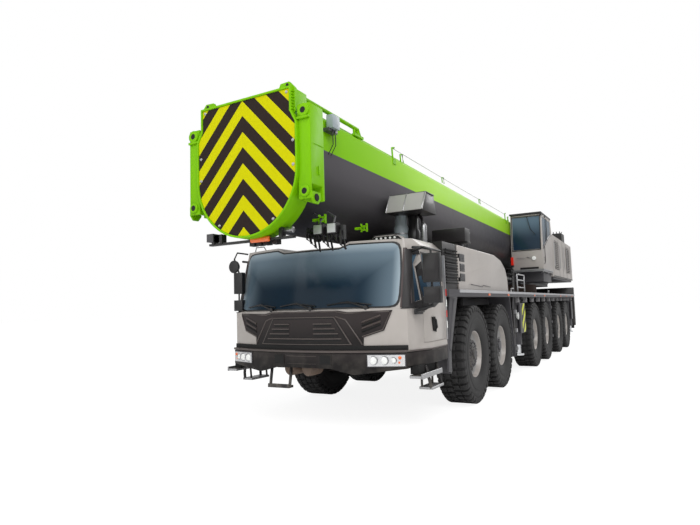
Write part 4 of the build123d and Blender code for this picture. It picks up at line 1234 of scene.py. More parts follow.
class CRANE_OT_cab_front(bpy.types.Operator):
    """Make the cab with its doors, windscreen, nose panel, bumper and lamps"""
    bl_idname = "crane.cab_front"
    bl_label = "Cab front"

    def execute(self, context):
        self.shell()
        self.windscreen()
        self.pillars()
        self.nose_panel()
        self.bumper()
        self.headlamps()
        self.wipers()
        self.roof_fittings()
        self.side_fittings()
        self.mirrors()
        self.steps()
        return {"FINISHED"}

    def shell(self):
        """The hollow shell, its two doors and the side panes, cut from one form."""
        screen = Form("screen_cut", None, "grey")
        bowed(screen, mirrored(SCREEN_Y), lambda y: between(y, SCREEN_LOW),
              lambda y: between(y, SCREEN_TOP),
              0.10, 0.30, "grey", 4)
        cuts = [door_cut(side, 0.005) for _, side in SIDES]
        cuts += [window_cut(side, SIDE_PANE_X) for _, side in SIDES]
        shell = carved(cab_volume(0.0), *cuts, screen, cab_volume(WALL))

        def paint(point, normal):
            reveal = 1.50 < point.z < 2.16 and abs(normal.y) < 0.8 and abs(point.y) > 1.225
            return "black" if reveal else "grey"
        shaped("cab_shell_skin", "carrier", shell, paint, 0.008, ("cab_shell",))
        for name, side in SIDES:
            body = frame["nodes"]["cab_door_" + name]["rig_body"]
            leaf = carved(cab_volume(0.0), door_cut(side), operation="INTERSECT")
            leaf = carved(leaf, window_cut(side, DOOR_PANE_X), cab_volume(WALL))
            shaped(f"cab_door_{name}_skin", body, leaf, paint, 0.005, ("cab_door_" + name,))
            self.window_frames(name, side, body)
            for pane, ride, x, play, nodes in (
                    (f"cab_door_glass_{name}_skin", body, DOOR_PANE_X, 0.012, ("cab_door_glass_" + name,)),
                    (f"cab_quarter_glass_{name}", "carrier", SIDE_PANE_X, 0.008, ())):
                sheet = carved(cab_volume(PANE_OUT), window_cut(side, x, play), operation="INTERSECT")
                shaped(pane, ride, carved(sheet, cab_volume(PANE_IN)), "glass", 0.0, nodes)

    def windscreen(self):
        """The bowed pane over its black border."""
        for name, grow, out, thick, look in (("cab_windscreen_border", 0.014, 0.004, 0.020, "plastic"),
                                             ("cab_windscreen_pane", -0.006, 0.010, 0.010, "screen")):
            ys = mirrored([y + grow * (y > 1.0) for y in SCREEN_Y])
            sheet = Form(name, "carrier", look)
            bowed(sheet, ys, lambda y: between(abs(y) - grow * (abs(y) > 1.0), SCREEN_LOW) - grow,
                  lambda y: between(abs(y) - grow * (abs(y) > 1.0), SCREEN_TOP) + grow, out, thick, look, 6)
            sheet.done(stands_for=("cab_windscreen",) if look == "screen" else ())

    def window_frames(self, name, side, body):
        """The black frame round the side windows, split between the door and the shell."""
        door = [(1.345, 1.585), (1.70, 1.475), (1.975, 1.475), (1.975, 2.165), (1.345, 2.165)]
        fixed = [(1.985, 1.475), (2.30, 1.475), (2.30, 2.20), (1.985, 2.20)]
        for label, ride, outline, x in (("door", body, door, DOOR_PANE_X),
                                        ("side", "carrier", fixed, SIDE_PANE_X)):
            zone = Form("zone", None, "black")
            zone.slab(outline, "y", across(side, 1.240, 1.60))
            film = carved(cab_volume(-0.008), zone, operation="INTERSECT")
            film = carved(film, window_cut(side, x), cab_volume(0.001))
            shaped(f"cab_{label}_frame_{name}", ride, film, "black", 0.0)

    def pillars(self):
        """The brown pillars at the screen's corners and the black strips behind them."""
        for name, side in SIDES:
            for label, look in (("pillar", "pillar"), ("strip", "black")):
                form = Form(f"cab_{label}_{name}", "carrier", look)
                rings = []
                for z in (1.487, 1.60, 1.90, 2.10, 2.22):
                    corner = NOSE_HALF - 0.1 * (z - CAB_BELT)
                    edge, inner = nose(corner, z), nose(1.222, z)
                    back = edge - 0.06
                    swept = corner + 0.06 * 0.35
                    path = [(inner + 0.006, 1.218), (edge + 0.006, corner + 0.002), (back, swept + 0.008),
                            (back, swept - 0.02), (edge - 0.03, corner - 0.03), (inner - 0.02, 1.218)]
                    if look == "black":
                        path = [(back + 0.002, swept + 0.006), (back - 0.05, swept + 0.023),
                                (back - 0.05, swept - 0.005), (back + 0.002, swept - 0.02)]
                    rings.append([(x, side * y, z) for x, y in path])
                form.prism(rings)
                form.done(0.004)

    def nose_panel(self):
        """The charcoal panel with its raised frame, level slots and slanted ribs, with light edges for painted
        highlights and near-black gaps for painted shade.
        """
        panel = Form("cab_nose_panel", "carrier", "charcoal")
        bowed(panel, mirrored(PANEL_Y), lambda y: between(y, PANEL_LOW), lambda y: between(y, PANEL_TOP),
              0.018, 0.030, "charcoal")
        low, high = 1.078, 1.375

        def edge(z):
            return 0.635 - 0.19 * (z - low) / (high - low)
        # The raised frame: a light outer ring for its painted highlight, a near-black ring for the painted shadow
        # inside it, then the charcoal face.
        for grow, out, look in ((0.030, 0.030, "ridge"), (0.016, 0.031, "hollow"),
                                (0.0, 0.034, "charcoal")):
            rings = []
            for z in spread(low - grow * 0.6, high + grow * 0.8, 6):
                half = edge(z) + grow
                front = [(nose(y, z) + out, y, z) for y in spread(-half, half, 13)]
                rings.append(front + [(x - 0.02, y, c) for x, y, c in reversed(front)])
            panel.prism(rings, look)
        # Each slot: a near-black recess for painted shade under a light lip for a painted highlight.
        for z, inner, outer in SLOTS:
            runs = ((-outer, -inner), (inner, outer)) if inner else ((-outer, outer),)
            for run in runs:
                plain_bow(panel, run, (z - 0.014, z + 0.012), 0.0365, 0.010, "hollow")
                plain_bow(panel, (run[0] - 0.010, run[1] + 0.010), (z + 0.012, z + 0.024), 0.044, 0.014,
                          "ridge")
        for _, side in SIDES:
            # Light tubes along the panel's top and round its frame, for painted highlight lines.
            for path in ([(0.0, 1.462), (0.47, 1.462), (0.60, 1.436), (1.12, 1.447)],
                         [(0.47, 1.400), (0.60, 1.360), (0.74, 1.155), (0.80, 1.060)],
                         [(0.80, 1.155), (1.04, 1.232), (1.135, 1.440)]):
                spots = [(nose(y) + 0.019, side * y, z) for y, z in path]
                panel.tube(spots, 0.009, "ridge", 6)
            # The slanted ribs, alternately light for painted highlight and near-black for painted shade.
            for step in range(4):
                rings = []
                for t in (0.0, 0.5, 1.0):
                    y = side * (0.80 + 0.22 * t)
                    z = 1.312 + 0.080 * t - step * 0.036
                    x = nose(y) + 0.018
                    rings.append([(x, y, z), (x + 0.016, y, z + 0.006), (x + 0.004, y, z + 0.022),
                                  (x - 0.01, y, z + 0.01)])
                panel.prism(rings, "hollow" if step % 2 else "ridge")
        panel.done(0.002, 1)

    def bumper(self):
        """The bar across the front with its lip, its swept ends and two tow openings, with a light lip and lines for
        painted highlights and near-black gaps for painted shade.
        """
        bar = Form("bumper_dressed", "carrier", "bumper")
        ys = mirrored([0.0, 0.2, 0.4, 0.55, 0.7, 0.85, 1.0, 1.15, NOSE_HALF])
        bowed(bar, ys, lambda y: between(y, BUMPER_FOOT), lambda y: 0.960, BUMPER_OUT, 0.12, "bumper", 3)
        # The lip is light, for its painted highlight.
        bowed(bar, ys, lambda y: 0.966, lambda y: 0.992, BUMPER_OUT + 0.018, 0.12, "ridge", 2)
        # A near-black strip under the nose panel, for the painted shadow gap.
        bowed(bar, ys, lambda y: 0.992, lambda y: 1.046, 0.020, 0.05, "hollow", 2)
        for _, side in SIDES:
            corner = nose(NOSE_HALF) + BUMPER_OUT
            outline = [(corner, NOSE_HALF), (SIDE_FRONT, CAB_HALF + 0.005), (1.29, CAB_HALF + 0.005),
                       (1.29, CAB_HALF - 0.08), (SIDE_FRONT, CAB_HALF - 0.08),
                       (corner - 0.12, NOSE_HALF - 0.05)]
            for low, high, look in ((0.80, 0.960, "bumper"), (0.966, 0.985, "ridge")):
                bar.prism([[(x, side * y, z) for x, y in outline] for z in (low, high)], look)
        # The tow openings are near-black inside, for painted shade.
        for y in (-0.345, 0.345):
            plain_bow(bar, (y - 0.085, y + 0.085), (0.812, 0.942), BUMPER_OUT + 0.006, 0.012, "charcoal", 3)
            plain_bow(bar, (y - 0.070, y + 0.070), (0.826, 0.930), BUMPER_OUT + 0.009, 0.010, "hollow", 3)
        # Two thin light lines, painted highlights.
        plain_bow(bar, (-0.22, 0.22), (0.918, 0.925), BUMPER_OUT + 0.004, 0.01, "ridge", 5)
        plain_bow(bar, (-0.22, 0.22), (0.826, 0.830), BUMPER_OUT + 0.004, 0.01, "ridge", 5)
        bar.done(0.004, 1, stands_for=("bumper",))
        tanks = Form("front_tanks", "carrier", "tank")
        for y in (-0.27, 0.0):
            tanks.lathe([(2.14, 0.03), (2.17, 0.070), (2.20, 0.090), (2.42, 0.090), (2.45, 0.070),
                         (2.46, 0.03)],
                        (0, y, 0.745), "x", "tank", 20)
        tanks.done()

    def headlamps(self):
        """A clear lamp unit each side with three round lamps and a small orange one."""
        unit = Form("headlamps", "carrier", "bright", "white_lamp", "orange_lamp", "plastic")
        for _, side in SIDES:
            ends = across(side, 0.862, 1.298)
            plain_bow(unit, ends, (0.798, 0.948), BUMPER_OUT + 0.006, 0.010, "casing", 6)
            inner = across(side, 0.874, 1.290)
            plain_bow(unit, inner, (0.808, 0.938), BUMPER_OUT + 0.012, 0.010, "bright", 8)
            for y, size in ((0.940, 0.056), (1.062, 0.056), (1.166, 0.040)):
                x = nose(y) + BUMPER_OUT + 0.006
                unit.lathe([(0.0, size), (0.014, size), (0.012, size * 0.88), (0.006, size * 0.84)],
                           (x, side * y, 0.874), "x", "steel", 24)
                unit.lathe([(0.0, size * 0.84), (0.012, size * 0.74), (0.018, size * 0.45),
                            (0.020, size * 0.1)], (x + 0.001, side * y, 0.874), "x", "white_lamp", 24)
            x = nose(1.235) + BUMPER_OUT + 0.008
            unit.lathe([(0.0, 0.022), (0.012, 0.018), (0.016, 0.006)], (x, side * 1.235, 0.905), "x",
                       "orange_lamp", 14)
            unit.lathe([(0.0, 0.016), (0.010, 0.013), (0.013, 0.005)], (x, side * 1.225, 0.850), "x",
                       "orange_lamp", 14)
        unit.done()

    def wipers(self):
        """Three arms with blades, parked along the foot of the windscreen."""
        kit = Form("wipers", "carrier", "plastic")
        for y in (-0.52, 0.12, 0.84):
            spots = [(y, 1.500, 0.035), (y - 0.22, 1.575, 0.040), (y - 0.33, 1.562, 0.030)]
            kit.tube([(nose(b, z) + out, b, z) for b, z, out in spots], 0.010, "plastic", 6)
            kit.drum((nose(y, 1.500) + 0.01, y, 1.500), "x", (0.0, 0.04), 0.026, "plastic", 12)
            blade = [(y - 0.50, 1.540), (y - 0.33, 1.562), (y - 0.12, 1.558), (y + 0.06, 1.532)]
            kit.tube([(nose(b, z) + 0.022, b, z) for b, z in blade], 0.008, "plastic", 6)
        kit.done()

    def roof_fittings(self):
        """The marker pod on the roof's left edge and the wire guards over the right."""
        kit = Form("cab_roof_markers", "carrier", "grey", "white_lamp", "plastic")
        outline = [(0.77, 0.0), (0.80, 0.045), (0.84, 0.062), (1.12, 0.062), (1.16, 0.045), (1.20, 0.0)]
        # The pod's body, its dark face and its five lamps, between two low guards.
        kit.slab([(y, 2.33 + z) for y, z in outline], "x", (1.93, 2.08), "grey")
        kit.slab([(y, 2.333 + z * 0.78) for y, z in outline], "x", (2.08, 2.086), "hollow")
        for y in spread(0.86, 1.11, 5):
            kit.drum((2.086, y, 2.358), "x", (0.0, 0.008), 0.014, "white_lamp", 12)
        for middle, half in ((0.98, 0.17), (-0.98, 0.10)):
            loop = [(2.10, middle - half, 2.335), (2.12, middle - half + 0.03, 2.395),
                    (2.12, middle + half - 0.03, 2.395), (2.10, middle + half, 2.335)]
            kit.tube(loop, 0.007, "plastic", 6)
        guard = [(2.10, -0.97, 2.33), (2.13, -0.96, 2.22), (2.15, -0.93, 2.16), (2.15, -0.90, 2.16),
                 (2.13, -0.87, 2.22), (2.10, -0.86, 2.33)]
        kit.tube(guard, 0.007, "plastic", 6)
        kit.done()

    def side_fittings(self):
        """The doors' handles and rain tubes, and the marker strip behind the left door."""
        for name, side in SIDES:
            body = frame["nodes"]["cab_door_" + name]["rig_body"]
            handle = Form(f"cab_door_{name}_handle", body, "plastic", "hollow")
            y = side * (CAB_HALF + 0.004)
            outline = [(1.70, 1.17), (1.80, 1.19), (1.835, 1.36), (1.73, 1.36)]
            # A near-black plate behind the grip, for the painted shade of its recess.
            handle.slab([(x, z) for x, z in outline], "y", sorted((y, y + side * 0.012)), "hollow")
            handle.tube([(1.735, y + side * 0.01, 1.20), (1.750, y + side * 0.035, 1.23),
                         (1.780, y + side * 0.035, 1.32), (1.785, y + side * 0.01, 1.35)], 0.014, "plastic",
                        8)
            handle.done()
            trim = Form(f"cab_side_trim_{name}", "carrier", "plastic", "silver", "red_lamp")
            trim.tube([(2.08, side * 1.335, 2.215), (1.90, side * 1.41, 2.225), (1.30, side * 1.41, 2.225)],
                      0.016, "plastic", 8)
            post = across(side, CAB_HALF - 0.02, CAB_HALF + 0.012)
            trim.block((1.276, 1.300), post, (1.05, 2.16), "silver")
            for number, z in enumerate(spread(1.20, 1.62, 4)):
                trim.block((1.278, 1.298), [value + side * 0.006 for value in post], (z, z + 0.09),
                           "red_lamp" if number % 2 else "white_lamp")
            trim.done()

    def mirrors(self):
        """Two housings a side on tube arms, and a round one on the right."""
        kit = Form("mirrors_dressed", "carrier", "plastic", "black")
        for z in ((1.77, 2.11), (1.53, 1.72)):
            kit.block((2.21, 2.28), (1.535, 1.745), z, "plastic")
            kit.block((2.280, 2.288), (1.550, 1.730), (z[0] + 0.02, z[1] - 0.02), "black")
            kit.block((2.24, 2.31), (-1.31, -1.16), (z[0] - 0.03, z[1] - 0.07), "plastic")
        kit.tube([(2.03, 1.31, 2.17), (2.17, 1.50, 2.19), (2.22, 1.62, 2.15), (2.22, 1.62, 1.50),
                  (2.14, 1.50, 1.46), (2.10, 1.37, 1.44)], 0.014, "plastic", 8)
        kit.tube([(2.24, 1.62, 1.50), (2.20, 1.42, 1.45), (1.98, 1.41, 1.44)], 0.020, "plastic", 8)
        kit.block((1.92, 2.20), (1.375, 1.405), (1.40, 1.47), "plastic")
        kit.tube([(2.12, -1.20, 2.31), (2.24, -1.30, 2.33), (2.27, -1.33, 2.24), (2.27, -1.25, 2.05),
                  (2.27, -1.25, 1.48), (2.22, -1.24, 1.45)], 0.012, "plastic", 8)
        kit.lathe([(-0.05, 0.02), (-0.045, 0.07), (-0.02, 0.088), (0.005, 0.092), (0.012, 0.085),
                   (0.014, 0.01)], (2.28, -1.33, 2.13), "x", "plastic", 28)
        kit.done(0.012, stands_for=("mirrors",))

    def steps(self):
        """Side steps with ribbed silver treads on black legs, the front step and the deck ladder."""
        kit = Form("steps_dressed", "carrier", "silver", "black")
        for _, side in SIDES:
            y = across(side, 1.315, 1.475)
            kit.block((1.60, 2.27), y, (0.660, 0.690), "silver")
            kit.block((1.60, 2.27), across(side, 1.462, 1.482), (0.655, 0.715), "silver")
            kit.block((1.55, 1.95), across(side, 1.30, 1.475), (0.490, 0.520), "silver")
            for x in (1.57, 1.93):
                kit.tube([(x, side * 1.45, 0.50), (x + 0.02, side * 1.44, 0.60),
                          (x + 0.04, side * 1.40, 0.78)],
                         0.022, "black", 6)
                kit.tube([(x, side * 1.33, 0.50), (x + 0.02, side * 1.34, 0.78)], 0.016, "black", 6)
            for x in spread(1.62, 2.25, 15):
                kit.block((x - 0.008, x + 0.008), y, (0.688, 0.697), "black")
            # A near-black block between the step and the cab, for painted shade.
            kit.block((1.62, 2.20), across(side, 1.30, 1.40), (0.70, 0.80), "hollow")
        for y in (-0.545, -0.240):
            kit.tube([(2.44, y, 0.80), (2.48, y + 0.01, 0.66), (2.49, y, 0.53)], 0.020, "black", 8)
        kit.block((2.43, 2.53), (-0.560, -0.225), (0.510, 0.540), "black")
        kit.block((2.515, 2.535), (-0.555, -0.230), (0.520, 0.560), "black")
        for x in (-3.53, -4.27):
            kit.tube([(x, 1.40, 1.71), (x, 1.40, 2.10)], 0.016, "silver", 8)
        for z in (1.82, 1.98, 2.10):
            kit.tube([(-3.53, 1.40, z), (-4.27, 1.40, z)], 0.014, "silver", 8)
        kit.done(0.003, 1, stands_for=("steps_and_ladder",))


# --------------------------------------------------------------------- deck
class CRANE_OT_deck(bpy.types.Operator):
    """Dress the deck, the engine hoods, the intake, the silencer and the outriggers"""
    bl_idname = "crane.deck"
    bl_label = "Deck"

    def execute(self, context):
        dressed("deck_and_guards", self.deck_paint)
        dressed("engine_hoods", self.hood_paint, 0.012)
        for node in sorted(frame["nodes"]):
            if node.startswith("outrigger_beam"):
                dressed(node, self.beam_paint if "front" in node else "casing")
        self.hood_fittings()
        self.intake()
        self.silencer()
        self.edge_fittings()
        for name, side in SIDES:
            board = Form(f"outrigger_board_front_{name}", "outrigger_beam_front_" + name, "hazard",
                         "casing")
            board.block((-3.78, -3.47), across(side, 1.474, 1.484), (0.87, 1.47), "hazard")
            board.block((-3.79, -3.46), across(side, 1.462, 1.474), (0.86, 1.48), "casing")
            board.done(0.003, 1)
        return {"FINISHED"}

    def deck_paint(self, point, normal):
        """Light along the deck's edge and on the guard's strip, dark below."""
        if point.z > 1.60:
            return "frame"
        if abs(point.y) > 1.452 and 0.85 < point.x < 1.25:
            return "silver"
        return "casing"

    def hood_paint(self, point, normal):
        """Painted shade inside the vents' frames at the hoods' front ends."""
        vent = 0.28 < point.x < 0.64 and 1.80 < point.z < 2.27 and abs(point.y) < 1.449
        return "hollow" if vent else "grey"

    def beam_paint(self, point, normal):
        """Bars on the outer end of a front outrigger."""
        return "hazard" if abs(point.y) > 1.44 and abs(normal.y) > 0.5 else "casing"

    def hood_fittings(self):
        """The dark vents in the hoods, their hinges and the radiator's slats."""
        for name, side in SIDES:
            y = across(side, 1.440, 1.454)
            kit = Form(f"hood_fittings_{name}", "carrier", "hollow", "black", "casing", "plastic")
            for low, high in ((1.84, 1.95), (1.98, 2.095), (2.125, 2.24)):
                kit.block((0.36, 0.58), y, (low, high), "black")
                for z in spread(low + 0.015, high - 0.015, 5):
                    kit.block((0.365, 0.575), across(side, 1.450, 1.460), (z - 0.005, z + 0.004),
                              "casing")
            # Near-black slits between the radiator's slats, for painted shade.
            for z in spread(1.80, 2.26, 12):
                kit.block((0.70, 1.20), across(side, 1.440, 1.462), (z - 0.010, z + 0.006), "hollow")
            for z in (1.86, 2.20):
                kit.block((0.615, 0.650), across(side, 1.44, 1.468), (z - 0.03, z + 0.03), "plastic")
            kit.tube([(0.10, side * 1.462, 1.80), (-0.55, side * 1.462, 1.775), (-0.60, side * 1.462, 1.80),
                      (-1.05, side * 1.462, 1.78)], 0.006, "casing", 6)
            kit.done(0.003, 1)

    def intake(self):
        """The slanted intake shroud on its pipe, with the cleaner and its hoses beside it."""
        kit = Form("intake_dressed", "carrier", "lamp_box", "casing", "black", "steel", "shroud")
        side = [(1.44, 2.79), (1.285, 3.055), (0.98, 3.06), (0.88, 2.79)]
        kit.slab(side, "y", (0.705, 1.235), "black")
        rings = [[(x + dx, y, z + dz) for x, z, dx, dz in ((1.452, 2.80, 0, 0), (1.297, 3.062, 0, 0),
                                                          (1.287, 3.056, 0, 0), (1.442, 2.794, 0, 0))]
                 for y in (0.695, 1.245)]
        kit.prism(rings, "shroud")
        kit.block((0.97, 1.30), (0.695, 1.245), (3.050, 3.066), "casing")
        for y in (0.700, 0.96, 1.232):
            kit.tube([(1.452, y, 2.800), (1.298, y, 3.062)], 0.008, "steel", 6)
        kit.lathe([(2.30, 0.105), (2.62, 0.105), (2.66, 0.085), (2.80, 0.085)], (1.09, 0.77, 0), "z",
                  "lamp_box", 28)
        kit.lathe([(2.30, 0.095), (2.55, 0.095), (2.60, 0.07), (2.80, 0.07)], (1.02, 0.93, 0), "z", "black",
                  24)
        for z in (2.40, 2.52):
            kit.lathe([(z, 0.110), (z + 0.02, 0.110)], (1.09, 0.77, 0), "z", "steel", 28)
        kit.lathe([(2.30, 0.045), (2.60, 0.045), (2.64, 0.03)], (1.14, 1.13, 0), "z", "steel", 20)
        kit.tube([(1.14, 1.13, 2.62), (1.12, 1.10, 2.72), (1.05, 1.02, 2.80)], 0.022, "black", 8)
        kit.done(0.006, stands_for=("intake_and_silencer",))

    def silencer(self):
        """The black box across the hood, with a pale lamp beyond it."""
        kit = Form("silencer_dressed", "carrier", "black", "plastic", "white_lamp", "casing")
        kit.block((-0.28, 0.0), (0.83, 1.37), (2.485, 2.70), "black")
        kit.block((-0.24, -0.06), (0.80, 1.39), (2.46, 2.49), "plastic")
        for y in (0.95, 1.25):
            kit.block((-0.22, -0.10), (y - 0.03, y + 0.03), (2.34, 2.47), "casing")
        kit.lathe([(-0.03, 0.03), (-0.01, 0.055), (0.02, 0.06), (0.03, 0.01)], (-0.40, 1.28, 2.66), "x",
                  "white_lamp", 20)
        kit.tube([(-0.42, 1.28, 2.36), (-0.42, 1.28, 2.64)], 0.012, "casing", 8)
        kit.done(0.006)

    def edge_fittings(self):
        """Clamps, pipes, side lamps, loops and marker lamps along the deck's edges."""
        kit = Form("deck_edge_fittings", "carrier", "frame", "rail", "black", "silver", "white_lamp",
                   "orange_lamp",
                   "plastic")
        for _, side in SIDES:
            for z in (1.31, 0.94, 0.58):
                kit.block((-2.99, -2.89), across(side, 1.36, 1.475), (z - 0.035, z + 0.035), "silver")
            kit.lathe([(-0.03 * side, 0.05), (0.0, 0.075), (0.02 * side, 0.08), (0.03 * side, 0.01)],
                      (-3.30, side * 1.43, 1.22), "y", "white_lamp", 20)
            for x in (-2.70, -7.19):
                kit.tube([(x - 0.12, side * 1.47, 1.70), (x - 0.10, side * 1.47, 1.78),
                          (x + 0.10, side * 1.47, 1.78),
                          (x + 0.12, side * 1.47, 1.70)], 0.010, "silver", 8)
            kit.block((-12.80, 0.80), across(side, 1.478, 1.506), (1.668, 1.712), "rail")
            for x in (-0.8, -2.2, -4.9, -6.3, -9.2, -10.6, -12.0):
                kit.block((x - 0.05, x + 0.05), across(side, 1.494, 1.510), (1.630, 1.664), "orange_lamp")
            for x in spread(-3.2, -12.0, 12):
                kit.block((x - 0.012, x + 0.012), across(side, 1.40, 1.488), (1.50, 1.61), "frame")
            kit.tube([(-2.86, side * 1.42, 0.52), (-2.86, side * 1.42, 1.61)], 0.020, "black", 8)
            kit.tube([(-3.12, side * 1.40, 0.80), (-3.12, side * 1.40, 2.05)], 0.022, "black", 8)
            kit.tube([(-3.40, side * 1.36, 1.70), (-3.40, side * 1.36, 2.20), (-3.44, side * 1.20, 2.22)],
                     0.018,
                     "black", 8)
        kit.done(0.003, 1)
# --------------------------------------------------------------------- rear
def opcab_form(inset):
    """The crane cab's outer form, or the room in it for a wall of that inset."""
    form = Form("opcab", None, "grey")
    outline = [(-6.66, 2.37 + inset), (-6.63, 2.88), (-6.72, 3.85 - inset), (-8.22, 3.87 - inset),
               (-8.36, 3.46), (-8.36, 2.37 + inset)]
    form.slab([(x - inset if x > -7 else x + inset, z) for x, z in outline], "y",
              (0.65 + inset, 1.465 - inset))
    return form.baked()


def opcab_cuts(grow=0.0):
    """The front window and the two side windows."""
    front = Form("front", None, "grey")
    front.block((-6.86, -6.50), (0.70 - grow, 1.415 + grow), (2.90 - grow, 3.80 + grow))
    cuts = [front]
    outline = [(-6.735 + grow, 2.915 - grow), (-7.72, 3.30 - grow), (-8.16 - grow, 3.42 - grow),
               (-8.12 - grow, 3.79 + grow), (-6.80 + grow, 3.79 + grow)]
    for y in ((1.30, 1.60), (0.50, 0.80)):
        side = Form("side", None, "grey")
        side.slab(outline, "y", y)
        cuts.append(side)
    return cuts


HOUSING_TOP = 3.474


class CRANE_OT_rear(bpy.types.Operator):
    """Make the crane cab, the louvred housings and the rear lamps"""
    bl_idname = "crane.rear"
    bl_label = "Crane cab and housings"

    def execute(self, context):
        self.cab()
        self.cab_fittings()
        self.housing()
        self.tail()
        return {"FINISHED"}

    def cab(self):
        """The crane cab's hollow shell and its panes."""
        skin = carved(opcab_form(0.0), opcab_form(0.035))
        shell = carved(skin, *opcab_cuts())

        def paint(point, normal):
            if point.z > 3.80 and normal.z > 0.7 or point.z > 3.845:
                return "black"
            # Painted shade: faces within the cab's plan above 2.90 m, the inside seen through the panes, are black.
            hidden = point.z > 2.90 and (point.x < -6.72 and 0.66 < point.y < 1.45)
            return "black" if hidden else "grey"
        shaped("crane_cab_shell_skin", "superstructure", shell, paint, 0.012, ("crane_cab_shell",))
        panes = carved(opcab_form(0.010), opcab_form(0.018))
        glass = Form("opcab_glass", None, "glass")
        for cut in opcab_cuts(0.006):
            glass.merge(carved(panes.copy(), cut, operation="INTERSECT"), "glass")
        shaped("crane_cab_glass_skin", "superstructure", glass.baked(), "glass", 0.0,
               ("crane_cab_panes",))

    def cab_fittings(self):
        """The roof guard, frame strips, lamps, wiper, hinges and grab rails of the crane cab."""
        kit = Form("crane_cab_fittings", "superstructure", "black", "white_lamp", "red_lamp", "silver",
                   "plastic",
                   "grey")
        kit.block((-8.24, -6.64), (0.64, 0.67), (3.865, 3.905), "black")
        kit.block((-8.24, -6.64), (1.445, 1.475), (3.865, 3.905), "black")
        for x in spread(-6.66, -8.20, 12):
            kit.block((x - 0.018, x + 0.018), (0.65, 1.465), (3.875, 3.905), "black")
        for x in (-6.70, -7.25):
            kit.block((x - 0.05, x + 0.05), (1.44, 1.478), (3.80, 3.88), "black")
        for y in (0.685, 1.425):
            kit.tube([(-6.625, y, 2.89), (-6.705, y, 3.82)], 0.010, "plastic", 6)
        for z, x in ((2.885, -6.618), (3.815, -6.700)):
            kit.tube([(x, 0.68, z), (x, 1.43, z)], 0.010, "plastic", 6)
        kit.tube([(-6.64, 1.10, 3.80), (-6.62, 1.18, 3.45), (-6.61, 1.30, 3.30)], 0.010, "plastic", 6)
        kit.tube([(-6.70, 1.470, 2.90), (-7.72, 1.470, 3.285), (-8.18, 1.470, 3.405)], 0.010, "plastic", 6)
        kit.tube([(-7.42, 1.470, 3.17), (-7.46, 1.470, 3.80)], 0.010, "plastic", 6)
        kit.lathe([(0.0, 0.030), (0.03, 0.050), (0.06, 0.054), (0.068, 0.01)], (-6.655, 1.24, 2.66), "x",
                  "white_lamp", 20)
        kit.tube([(-6.64, 1.05, 2.69), (-6.60, 1.10, 2.69), (-6.60, 1.22, 2.67)], 0.008, "silver", 6)
        kit.tube([(-6.62, 0.80, 2.68), (-6.59, 0.82, 2.68), (-6.59, 1.02, 2.68), (-6.62, 1.04, 2.68)],
                 0.007,
                 "silver", 6)
        kit.block((-6.66, -6.60), (0.635, 0.70), (2.50, 2.72), "red_lamp")
        kit.block((-6.66, -6.59), (0.630, 0.705), (2.46, 2.50), "black")
        kit.block((-6.675, -6.640), (0.86, 1.34), (2.375, 2.425), "black")
        kit.block((-8.20, -6.58), (0.64, 1.48), (2.335, 2.365), "silver")
        for x in (-6.62, -7.40, -8.16):
            kit.tube([(x, 1.46, 2.35), (x, 1.46, 2.28), (x - 0.06, 1.40, 2.26)], 0.012, "silver", 6)
        kit.tube([(-6.60, 0.66, 2.31), (-6.60, 1.46, 2.31), (-8.16, 1.46, 2.31)], 0.012, "silver", 6)
        for z in (2.60, 2.66):
            kit.block((-7.00, -6.86), (1.462, 1.474), (z, z + 0.02), "plastic")
        kit.tube([(-6.78, 1.475, 2.50), (-6.78, 1.50, 2.55), (-6.78, 1.50, 2.95), (-6.78, 1.475, 3.0)],
                 0.010,
                 "black", 8)
        kit.done(0.003, 1)

    def housing(self):
        """The housings with their louvres, and the small dark box on the left one."""
        top = Form("top", None, "grey")
        top.block((-12.0, -8.0), (0.70, 1.50), (HOUSING_TOP, 4.0))
        mesh = carved(packed("machinery_housing"), top)
        shaped("machinery_housing_skin", "superstructure", mesh, "grey", 0.010,
               ("machinery_housing",))
        kit = Form("housing_louvres", "superstructure", "grey", "hollow", "black", "silver", "casing",
                   "plastic")
        kit.block((-8.52, -8.34), (0.78, 1.452), (2.235, 3.465), "grey")
        for _, side in SIDES:
            for first in (-8.85, -11.50):
                for column in range(3):
                    x = first - 0.27 * column
                    # A near-black panel behind each column of louvres, for painted shade.
                    kit.block((x - 0.21, x), across(side, 1.452, 1.463), (2.46, 3.34), "hollow")
                    for z in spread(2.50, 3.31, 15):
                        kit.block((x - 0.20, x - 0.01), across(side, 1.458, 1.470), (z - 0.014, z + 0.010),
                                  "grey")
            for x in (-8.60, -9.72, -10.62, -11.38, -12.40):
                kit.tube([(x, side * 1.468, 2.50), (x, side * 1.492, 2.54), (x, side * 1.492, 3.22),
                          (x, side * 1.468, 3.26)], 0.010, "silver", 6)
            for x in (-9.70, -10.55, -11.40, -12.45):
                kit.block((x - 0.006, x + 0.006), across(side, 1.455, 1.463), (2.26, 3.44), "hollow")
            kit.block((-12.86, -8.52), across(side, 1.44, 1.466), (2.225, 2.26), "black")
        kit.block((-11.15, -10.50), (1.18, 1.47), (3.468, 3.73), "black")
        for y in (1.22, 1.32, 1.42):
            kit.tube([(-10.52, y, 3.72), (-10.52, y, 3.79)], 0.014, "black", 8)
        kit.tube([(-10.60, 1.44, 3.72), (-10.60, 1.48, 3.78)], 0.012, "black", 8)
        kit.done(0.002, 1)

